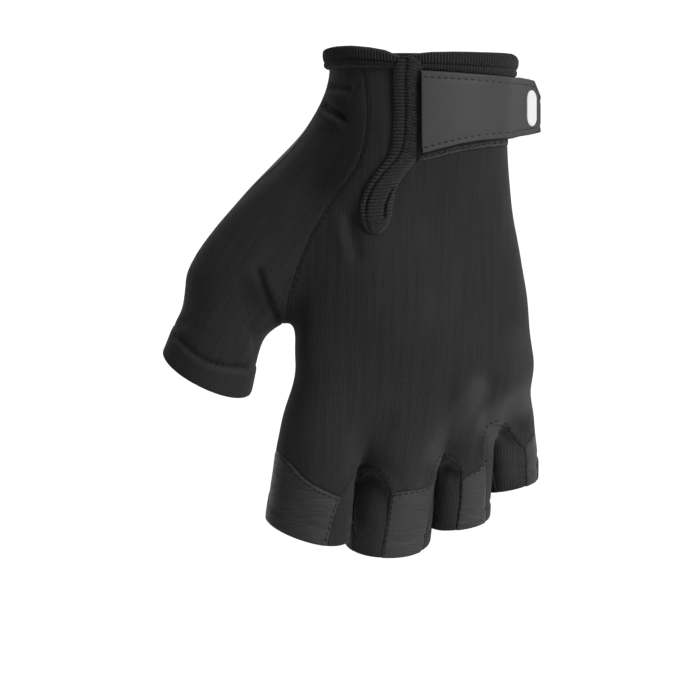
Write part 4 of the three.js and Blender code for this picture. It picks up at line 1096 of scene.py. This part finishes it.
# ---- ribbed binding of the wrist opening ------------------------------------------------------------
# upper edge over the back of the hand, photograph pixels
CUFF_TOP = photo([(322, 50), (327, 48), (340, 46.8), (354, 47), (370, 49), (385, 52), (395, 56.4), (402, 59.5), (409, 57.6), (420, 55.2), (430, 54), (455, 53.2), (479, 53), (505, 52.4), (519, 52.6)])
CUFF_RIB = 0.96


def wrist_reach(angle, level, z):
    """Distance from the middle of the wrist to the hand form grown by level."""
    lo, hi = np.full(angle.shape, 5.0), np.full(angle.shape, 60.0)
    for _ in range(22):
        mid = (lo + hi) / 2
        p = np.stack([np.cos(angle) * mid, 1 + np.sin(angle) * mid, z], -1)
        inside = palm(p) < level
        lo, hi = np.where(inside, mid, lo), np.where(inside, hi, mid)
    return np.stack([np.cos(angle) * lo, 1 + np.sin(angle) * lo, z], -1)


def cuff():
    N = 880
    a = np.arange(N) / N * TAU
    ring = wrist_reach(a, np.zeros(N), np.zeros(N))
    s = np.r_[0, np.cumsum(np.linalg.norm(np.diff(np.r_[ring, ring[:1]], axis=0), axis=1))]
    ribs = round(s[-1] / CUFF_RIB)
    phase = s[:-1] / s[-1] * ribs * TAU
    x = ring[:, 0]
    back = smooth(4, -4, ring[:, 1])
    top = 1.3 * (1 - back) + back * np.interp(x, CUFF_TOP[:, 0], CUFF_TOP[:, 1])
    low = -2.4 - 2.6 * (0.5 + 0.5 * np.cos(a))
    notch = np.exp(-(((x + 6.0) / 6.0) ** 2)) * back
    # section: height over the form, and share of the way from the lower to the upper edge
    section = [(0.4, 0.0), (1.35, -0.03), (2.0, 0.06), (2.25, 0.16), (2.15, 0.27), (1.75, 0.34), (1.95, 0.42), (2.2, 0.55), (2.25, 0.7), (2.15, 0.84), (1.75, 0.94), (0.9, 1.0), (0.0, 1.0), (-0.9, 0.95), (-1.45, 0.84), (-1.4, 0.6), (-0.2, 0.52), (0.4, 0.4)]
    pts = []
    for j, (h, share) in enumerate(section):
        z = low + (top - low) * share
        ribbing = 0.2 * np.cos(phase) * (1.0 if 6 <= j <= 12 else 0.55 if 1 <= j <= 4 else 0.0)
        hh = h + ribbing - 0.5 * notch * (1 if j < 13 else 0)
        pts.append(wrist_reach(a, hh, z))
    P = np.stack(pts, 1)  # ring, section
    M = P.shape[1]
    i = np.arange(N)[:, None] * M + np.arange(M)[None]
    nxt, up = np.roll(i, -1, 0), np.roll(i, -1, 1)
    both = np.roll(nxt, -1, 1)
    q = np.stack([i.ravel(), up.ravel(), both.ravel(), nxt.ravel()], 1)
    cloth = np.stack([np.repeat(s[:-1][:, None], M, 1), P[:, :, 2]], -1).reshape(-1, 2)
    level = np.arange(M)[None]
    # binding colour: rib crests lighter, painted shade along the groove row (level 5) and on the lower band at the left
    # of the back, away from the key light
    knit_tone_and_painted_shade = 0.3 * np.cos(phase)[:, None] * np.where((level >= 6) & (level <= 12), 1.0, 0.35) - 0.75 * (level == 5) - 0.25 * ((level <= 4) * back[:, None] * smooth(-4, -12, x)[:, None])
    V = P.reshape(-1, 3)
    vol = np.einsum("ij,ij->i", V[q[:, 0]], np.cross(V[q[:, 1]], V[q[:, 2]])).sum()
    if vol < 0:
        q = q[:, ::-1]
    return make_mesh("cuff_binding", V, [q], [TAPE], cloth=cloth, flat_angle=None, extra={"stretch_and_painted_light": knit_tone_and_painted_shade.ravel()})


attach(cuff(), "ribbed_tape", "cuff_binding")

# ---- ribbed tape round the slit: photograph rows of y, left edge, right edge ----------------------
SLIT_TAPE = np.array([
    (59.5, 400, 413), (62.5, 397.5, 418), (67, 395, 420.5), (75, 393.5, 421), (100, 393.5, 421), (125, 393, 420.5), (140, 392, 419.5), (150, 390, 418.5), (158, 387, 416.5), (166, 381.5, 412), (174, 375.5, 405.5), (182, 370, 400),
    (190, 365.8, 396), (198, 362.5, 394), (206, 360.7, 392.6), (214, 360.2, 391.6), (221, 361.2, 390), (227, 363.6, 387), (231.5, 366.8, 383.4), (234.4, 371, 379),
], float)


def slit_tape():
    y0, y1 = SLIT_TAPE[0, 0], SLIT_TAPE[-1, 0]
    rows, cols = int((y1 - y0) * PX / 0.19), 30
    py = np.linspace(y0, y1, rows)
    left, right = hermite(SLIT_TAPE[:, 0], SLIT_TAPE[:, 1], py), hermite(SLIT_TAPE[:, 0], SLIT_TAPE[:, 2], py)
    t = -np.cos(np.linspace(0, math.pi, cols)) * 0.5 + 0.5
    t = 0.55 * t + 0.45 * np.linspace(0, 1, cols)
    X = (left[:, None] + (right - left)[:, None] * t - PX_X) * PX
    Z = np.repeat(((PX_Z - py) * PX)[:, None], cols, 1)
    P, Nn = on_back(X, Z)
    Nn = unit(Nn * np.array([1, 1, 0.35]))
    T, PY = np.broadcast_arrays(t[None], py[:, None])
    s = np.abs(2 * T - 1)
    high = 0.5 + 1.75 * np.sqrt(np.clip(1 - s**3.2, 0, 1)) + 0.9 * smooth(84, 68, PY)
    ends = np.sqrt(np.clip(1 - np.clip((PY - 226) / 9, 0, 1) ** 2.4, 0, 1))
    bend = smooth(150, 182, PY)
    # fold between the left roll and the band, and the slit itself on the right of the bend
    roll = np.interp(PY, [60, 140, 150, 170, 186, 205, 222, 235], [0.42, 0.42, 0.40, 0.30, 0.24, 0.20, 0.18, 0.2])
    high -= (0.5 + 0.6 * bend) * np.exp(-(((T - roll) * (right - left)[:, None] * PX / 0.55) ** 2)) * (1 - 0.7 * smooth(205, 222, PY))
    slit = np.interp(PY, [184, 192, 205, 218, 224], [0.98, 0.84, 0.76, 0.76, 0.8])
    on = smooth(186, 192, PY) * (1 - smooth(216, 222, PY))
    high -= 1.25 * on * np.exp(-(((T - slit) * (right - left)[:, None] * PX / 0.42) ** 2))
    # ribs cross the band; the right part of the upper leg is a rougher knit
    mm_z = (PY - y0) * PX
    curve = (T - 0.45) ** 2 * 2.2 * bend + (T - 0.5) * 0.9 * bend
    ribs = np.cos(TAU * (mm_z + curve) / 1.12)
    ribs = np.where(ribs > 0, ribs, ribs * 0.8)
    rib_on = 1 - smooth(216, 222, PY)
    rough_zone = (1 - bend) * smooth(roll - 0.02, roll + 0.06, T)
    rng = np.random.default_rng(11)
    coarse = rng.normal(size=(rows // 3 + 2, cols // 2 + 2))
    fuzz = np.kron(coarse, np.ones((3, 2)))[:rows, :cols]
    loops = np.sin(TAU * mm_z / 1.0 + np.floor(T * 9) * 1.9) * np.sin(TAU * T * (right - left)[:, None] * PX / 1.7)
    edge_fade = np.clip((1 - s) / 0.08, 0, 1) * ends
    high += (0.32 * ribs * rib_on * (1 - 0.7 * rough_zone) + 0.24 * loops * np.maximum(rough_zone, 1 - rib_on) + 0.05 * fuzz) * edge_fade
    high = 0.35 + (high - 0.35) * ends
    top = P + Nn * high[..., None]
    low = P + Nn * 0.15
    cloth = np.stack([(T * (right - left)[:, None]) * PX, mm_z], -1)
    across_mm = (right - left)[:, None] * PX
    # tape colour: lighter rib crests and knit loops, painted shade in the fold beside the left roll, in the slit and
    # along both edges, lighter towards the bend
    knit_tone_and_painted_shade = 0.34 * ribs * rib_on * (1 - 0.75 * rough_zone) + 0.42 * loops * np.maximum(rough_zone, 0.6 * (1 - rib_on)) + 0.16 * fuzz * rough_zone
    knit_tone_and_painted_shade = knit_tone_and_painted_shade - 0.75 * np.exp(-(((T - roll) * across_mm / 0.5) ** 2)) * (1 - 0.7 * smooth(205, 222, PY))
    knit_tone_and_painted_shade = knit_tone_and_painted_shade - 0.9 * on * np.exp(-(((T - slit) * across_mm / 0.4) ** 2)) + 0.08 + 0.12 * bend
    knit_tone_and_painted_shade = knit_tone_and_painted_shade - 0.25 * np.exp(-(((1 - s) / 0.1) ** 2))
    return slab("slit_binding", top, low, [TAPE, TAPE], cloth=cloth, flip=False, flat_angle=60, extra={"stretch_and_painted_light": np.r_[knit_tone_and_painted_shade.ravel(), knit_tone_and_painted_shade.ravel()]})


tape_piece = slit_tape()
attach(tape_piece, "ribbed_tape", "slit_binding")

# ---- strap, its pad and patch ------------------------------------------------------------------------
STRAP_START, ON_BACK_TO, STRAP_END = -0.8, 26.5, 47.3
STRAP_ROWS = np.array([(0, -4.2, -31.9), (6, -4.5, -30.2), (12, -4.8, -28.5), (18, -5.1, -27.2), (24, -5.4, -26.3), (29, -5.6, -25.7), (33.5, -5.3, -24.9), (39.5, -5.5, -24.2), (43.0, -5.8, -23.7), (47.3, -10.8, -23.0)], float)
PAD_ROWS = np.array([(-1.0, -7.4, -33.6), (1.8, -7.4, -33.2), (8, -7.6, -31.5), (14, -7.8, -30.1), (20, -8.0, -29.0), (25.5, -8.2, -28.2), (28.0, -8.4, -27.8)], float)


def strap_point(run, z, h):
    """Points over the wrist at a way along the strap; past the side of the wrist it runs straight on."""
    run, z, h = np.broadcast_arrays(*(np.asarray(k, float) for k in (run, z, h)))
    flat = ON_BACK_TO - STRAP_START
    x = np.minimum(STRAP_START + run, ON_BACK_TO)
    P, n = on_back(x, z)
    n = unit(n * np.array([1, 1, 0.0]))
    edge = P + n * h[..., None]
    P0, n0 = on_back(np.array(ON_BACK_TO), np.array(-16.0))
    n0 = unit(n0 * np.array([1, 1, 0.0]))
    d = unit(np.array([-n0[1], n0[0], 0.0]))
    past = np.maximum(run - flat, 0)
    corner = P0 + n0 * h[..., None]
    straight = corner + d * past[..., None]
    straight[..., 2] = z
    fade = np.clip(1 - past / 8, 0, 1)[..., None]
    gone = straight + (edge - corner) * fade * np.array([1, 1, 0])
    return np.where((run <= flat)[..., None], edge, gone), n0


def across(rows, run):
    return np.interp(run, rows[:, 0], rows[:, 1]), np.interp(run, rows[:, 0], rows[:, 2])


def strap():
    run = np.unique(np.r_[np.linspace(0, STRAP_END, 150), 43.0, 0.25, 0.55, STRAP_END - 0.25, STRAP_END - 0.6])
    t = np.unique(np.r_[np.linspace(0, 1, 26), 0.008, 0.02, 0.04, 0.96, 0.98, 0.992])
    top, low = across(STRAP_ROWS, run)
    R, T = np.meshgrid(run, t, indexing="ij")
    Z = top[:, None] + (low - top)[:, None] * T
    wide = (top - low)[:, None]
    edge = np.minimum(np.minimum(T * wide, (1 - T) * wide), np.minimum(R + 0.02, STRAP_END + 0.02 - R))
    lift = 4.15 - 0.55 * (1 - np.sqrt(np.clip(1 - (1 - np.clip(edge / 0.75, 0, 1)) ** 2, 0, 1)))
    groove = np.minimum(T * wide, (1 - T) * wide)
    lift = lift - 0.26 * np.exp(-(((groove - 2.1) / 0.5) ** 2)) + 0.05 * np.exp(-(((groove - 1.0) / 0.7) ** 2))
    P, _ = strap_point(R, Z, lift)
    Q, _ = strap_point(R, Z, 2.7)
    C = T.shape[1]
    face_edge = (edge[:-1, :-1] + edge[1:, 1:] + edge[:-1, 1:] + edge[1:, :-1]) / 4
    Tm = (T[:-1, :-1] + T[1:, 1:]) / 2
    # black edge at the strap's ends and lower edge, none along the upper edge; the wider band along the lower edge is
    # painted shade under the strap
    black_edge_and_painted_shade = (face_edge < np.where(Tm > 0.9, 0.5, 0.26)) & (Tm > 0.02)
    black_edge_and_painted_shade |= (STRAP_END - (R[:-1, :-1] + R[1:, 1:]) / 2) < 0.8
    return slab("wrist_strap", P, Q, [STRAP, EDGE], face_material=black_edge_and_painted_shade.astype(int).ravel(), flip=False, flat_angle=40)


strap_piece = strap()
attach(strap_piece, "strap_rubber", "wrist_strap")


def pad():
    x = np.linspace(PAD_ROWS[0, 0], PAD_ROWS[-1, 0], 110)
    t = np.unique(np.r_[np.linspace(0, 1, 40), np.linspace(0.84, 1, 24)])
    top, low = across(PAD_ROWS, x)
    X, T = np.meshgrid(x, t, indexing="ij")
    Z = top[:, None] + (low - top)[:, None] * T
    P, n = on_back(X, Z)
    wide = (top - low)[:, None]
    edge = np.minimum(np.minimum(T * wide, (1 - T) * wide), np.minimum(X - x[0], x[-1] - X))
    rng = np.random.default_rng(5)
    fuzz = rng.normal(size=X.shape) * 0.03 * np.clip(edge / 0.4, 0, 1)
    lift = 0.5 + 1.5 * np.sqrt(np.clip(1 - (1 - np.clip(edge / 1.3, 0, 1)) ** 2, 0, 1)) + fuzz
    lift -= 0.22 * np.exp(-(((edge - 1.25) / 0.28) ** 2))
    return slab("closure_pad", P + n * lift[..., None], P + n * 0.12, [PILE, PILE], flip=False, flat_angle=60)


attach(pad(), "loop_pile", "closure_pad")


def patch():
    half, radius, run, z, seg = 6.0, 3.1, 40.6, -15.2, 64
    rings = []
    for inset, h in ((0.0, 4.1), (0.0, 4.3), (0.08, 4.42), (0.22, 4.5), (0.5, 4.54), (1.4, 4.56), (2.3, 4.56)):
        a = np.arange(seg) / seg * TAU
        r = radius - inset
        u = np.cos(a) * r
        v = np.sin(a) * r + np.sign(np.sin(a) + 1e-9) * (half - radius)
        rings.append(strap_point(run + u, z + v, h)[0])
    P = np.stack(rings)
    V = np.concatenate([P.reshape(-1, 3), P[-1].mean(0)[None], P[0].mean(0)[None]])
    q = []
    for k in range(len(rings) - 1):
        i = k * seg + np.arange(seg)
        j = k * seg + (np.arange(seg) + 1) % seg
        q.append(np.stack([i, i + seg, j + seg, j], 1))
    q = np.concatenate(q)
    last = (len(rings) - 1) * seg
    i, j = np.arange(seg), (np.arange(seg) + 1) % seg
    lid = np.stack([last + i, np.full(seg, len(V) - 2), last + j], 1)
    base = np.stack([j, np.full(seg, len(V) - 1), i], 1)
    tri = np.concatenate([q[:, [0, 1, 2]], q[:, [0, 2, 3]], lid, base])
    vol = np.einsum("ij,ij->i", V[tri[:, 0]], np.cross(V[tri[:, 1]], V[tri[:, 2]])).sum()
    if vol < 0:
        tri = tri[:, ::-1]
    return make_mesh("strap_patch", V, [tri], [WHITE], flat_angle=50)


attach(patch(), "patch_white", "strap_patch")


# ---- stitches ----------------------------------------------------------------------------------------
def capsules(name, spans, radius, m, sides=8, rings=7):
    """One short rounded stitch for each pair of ends with a normal."""
    A = np.array([s[0] for s in spans])
    B = np.array([s[1] for s in spans])
    Nn = unit(np.array([s[2] for s in spans]))
    d = unit(B - A)
    side = unit(np.cross(d, Nn))
    up = np.cross(side, d)
    t = (1 - np.cos(np.linspace(0, math.pi, rings))) / 2
    r = radius * np.sqrt(np.clip(1 - (2 * t - 1) ** 4, 0.04, 1))
    sink = -1.1 * radius * (2 * t - 1) ** 4
    a = np.arange(sides) / sides * TAU
    V = (
        A[:, None, None] + (B - A)[:, None, None] * t[None, :, None, None]
        + side[:, None, None] * (np.cos(a)[None, None, :, None] * r[None, :, None, None] * 1.15)
        + up[:, None, None] * (np.sin(a)[None, None, :, None] * r[None, :, None, None] + sink[None, :, None, None])
    )
    n = len(spans)
    per = rings * sides
    V = V.reshape(n, per, 3)
    tips = np.stack([A - up * radius * 1.1, B - up * radius * 1.1], 1)
    V = np.concatenate([V, tips], 1)
    per += 2
    quads, tris = [], []
    for k in range(rings - 1):
        for i in range(sides):
            j = (i + 1) % sides
            quads.append((k * sides + i, k * sides + j, (k + 1) * sides + j, (k + 1) * sides + i))
    last = (rings - 1) * sides
    for i in range(sides):
        j = (i + 1) % sides
        tris.append((rings * sides, j, i))
        tris.append((rings * sides + 1, last + i, last + j))
    base = (np.arange(n) * per)[:, None, None]
    Q = (np.array(quads)[None] + base).reshape(-1, 4)
    T = (np.array(tris)[None] + base).reshape(-1, 3)
    W = V.reshape(-1, 3)
    c = V[0].mean(0)
    q0 = Q[0]
    if np.dot(np.cross(W[q0[1]] - W[q0[0]], W[q0[3]] - W[q0[0]]), W[q0[0]] - c) < 0:
        Q, T = Q[:, ::-1], T[:, ::-1]
    return make_mesh(name, W, [Q, T], [m], flat_angle=None)


def sewn(line, pitch=2.2, long=1.45, lift=0.06, jitter=0.05, seed=1):
    """Stitch ends along a front-view line, laid on the panels."""
    s = np.r_[0, np.cumsum(np.linalg.norm(np.diff(line, axis=0), axis=1))]
    rng = np.random.default_rng(seed)
    spans = []
    for a in np.arange(0.6, s[-1] - long, pitch):
        ends = []
        for w in (a, a + long):
            x, z = np.interp(w, s, line[:, 0]) + rng.normal() * jitter, np.interp(w, s, line[:, 1])
            hit = on_skin(x, z)
            if hit is None:
                break
            ends.append(hit)
        if len(ends) == 2 and abs(ends[0][0][1] - ends[1][0][1]) < 2.0:
            nrm = ends[0][1] + ends[1][1]
            nrm = nrm / np.linalg.norm(nrm)
            if nrm[1] > -0.2:
                continue
            spans.append((ends[0][0] + nrm * lift, ends[1][0] + nrm * lift, nrm))
    return spans


def beside(line, off):
    """A line moved sideways, to its left for a plus distance."""
    d = unit(np.gradient(line, axis=0))
    return line + np.stack([-d[:, 1], d[:, 0]], 1) * off


seams = []
seams += sewn(beside(LINE["thumb"][LINE["thumb"][:, 1] < -4.5], 1.35), seed=1)
for k, off in (("index_cap_top", -1.0), ("middle_cap_top", -1.0), ("ring_cap_top", -1.0), ("little_cap_top", -0.9)):
    seams += sewn(beside(LINE[k], -off * -1.0), pitch=1.9, long=1.25, seed=2)
for k, off in (("index_leg", -0.9), ("middle_leg_in", 0.9), ("ring_leg_in", 0.9), ("little_leg_in", 0.8)):
    seams += sewn(beside(LINE[k], off), pitch=1.9, long=1.2, seed=3)
for k in ("index_arch", "middle_arch", "ring_arch"):
    seams += sewn(beside(LINE[k], 1.1), pitch=1.9, long=1.2, seed=4)
attach(capsules("seam_stitches", seams, 0.16, THREAD), "ribbed_tape")

HEM = spline(photo([(177, 334), (184, 341.5), (196, 353), (210, 361), (223, 364.3), (238, 366), (248, 367)]))
attach(capsules("hem_stitches", sewn(HEM, 2.0, 1.45, seed=5), 0.22, THREAD), "ribbed_tape")


def strap_stitches():
    spans = []
    for side in (0, 1):
        for a in np.arange(0.9, 42.0, 2.05):
            ends = []
            for w in (a, a + 1.35):
                top, low = across(STRAP_ROWS, w)
                z = top - 2.1 if side == 0 else low + 2.1
                p, _ = strap_point(w, z, 4.15 - 0.22)
                q, _ = strap_point(w, z, 5.15 - 0.22)
                ends.append((p, q - p))
            spans.append((ends[0][0], ends[1][0], ends[0][1] + ends[1][1]))
    return spans


attach(capsules("strap_stitches", strap_stitches(), 0.2, THREAD), "strap_rubber")


def pad_stitches():
    spans = []
    for a in np.arange(0.6, 26.0, 2.0):
        ends = []
        for w in (a, a + 1.3):
            _, low = across(PAD_ROWS, w)
            p, n = on_back(np.array(w), np.array(low + 1.25))
            ends.append((p + n * 1.82, n))
        spans.append((ends[0][0], ends[1][0], ends[0][1] + ends[1][1]))
    return spans


attach(capsules("pad_stitches", pad_stitches(), 0.16, THREAD), "loop_pile")
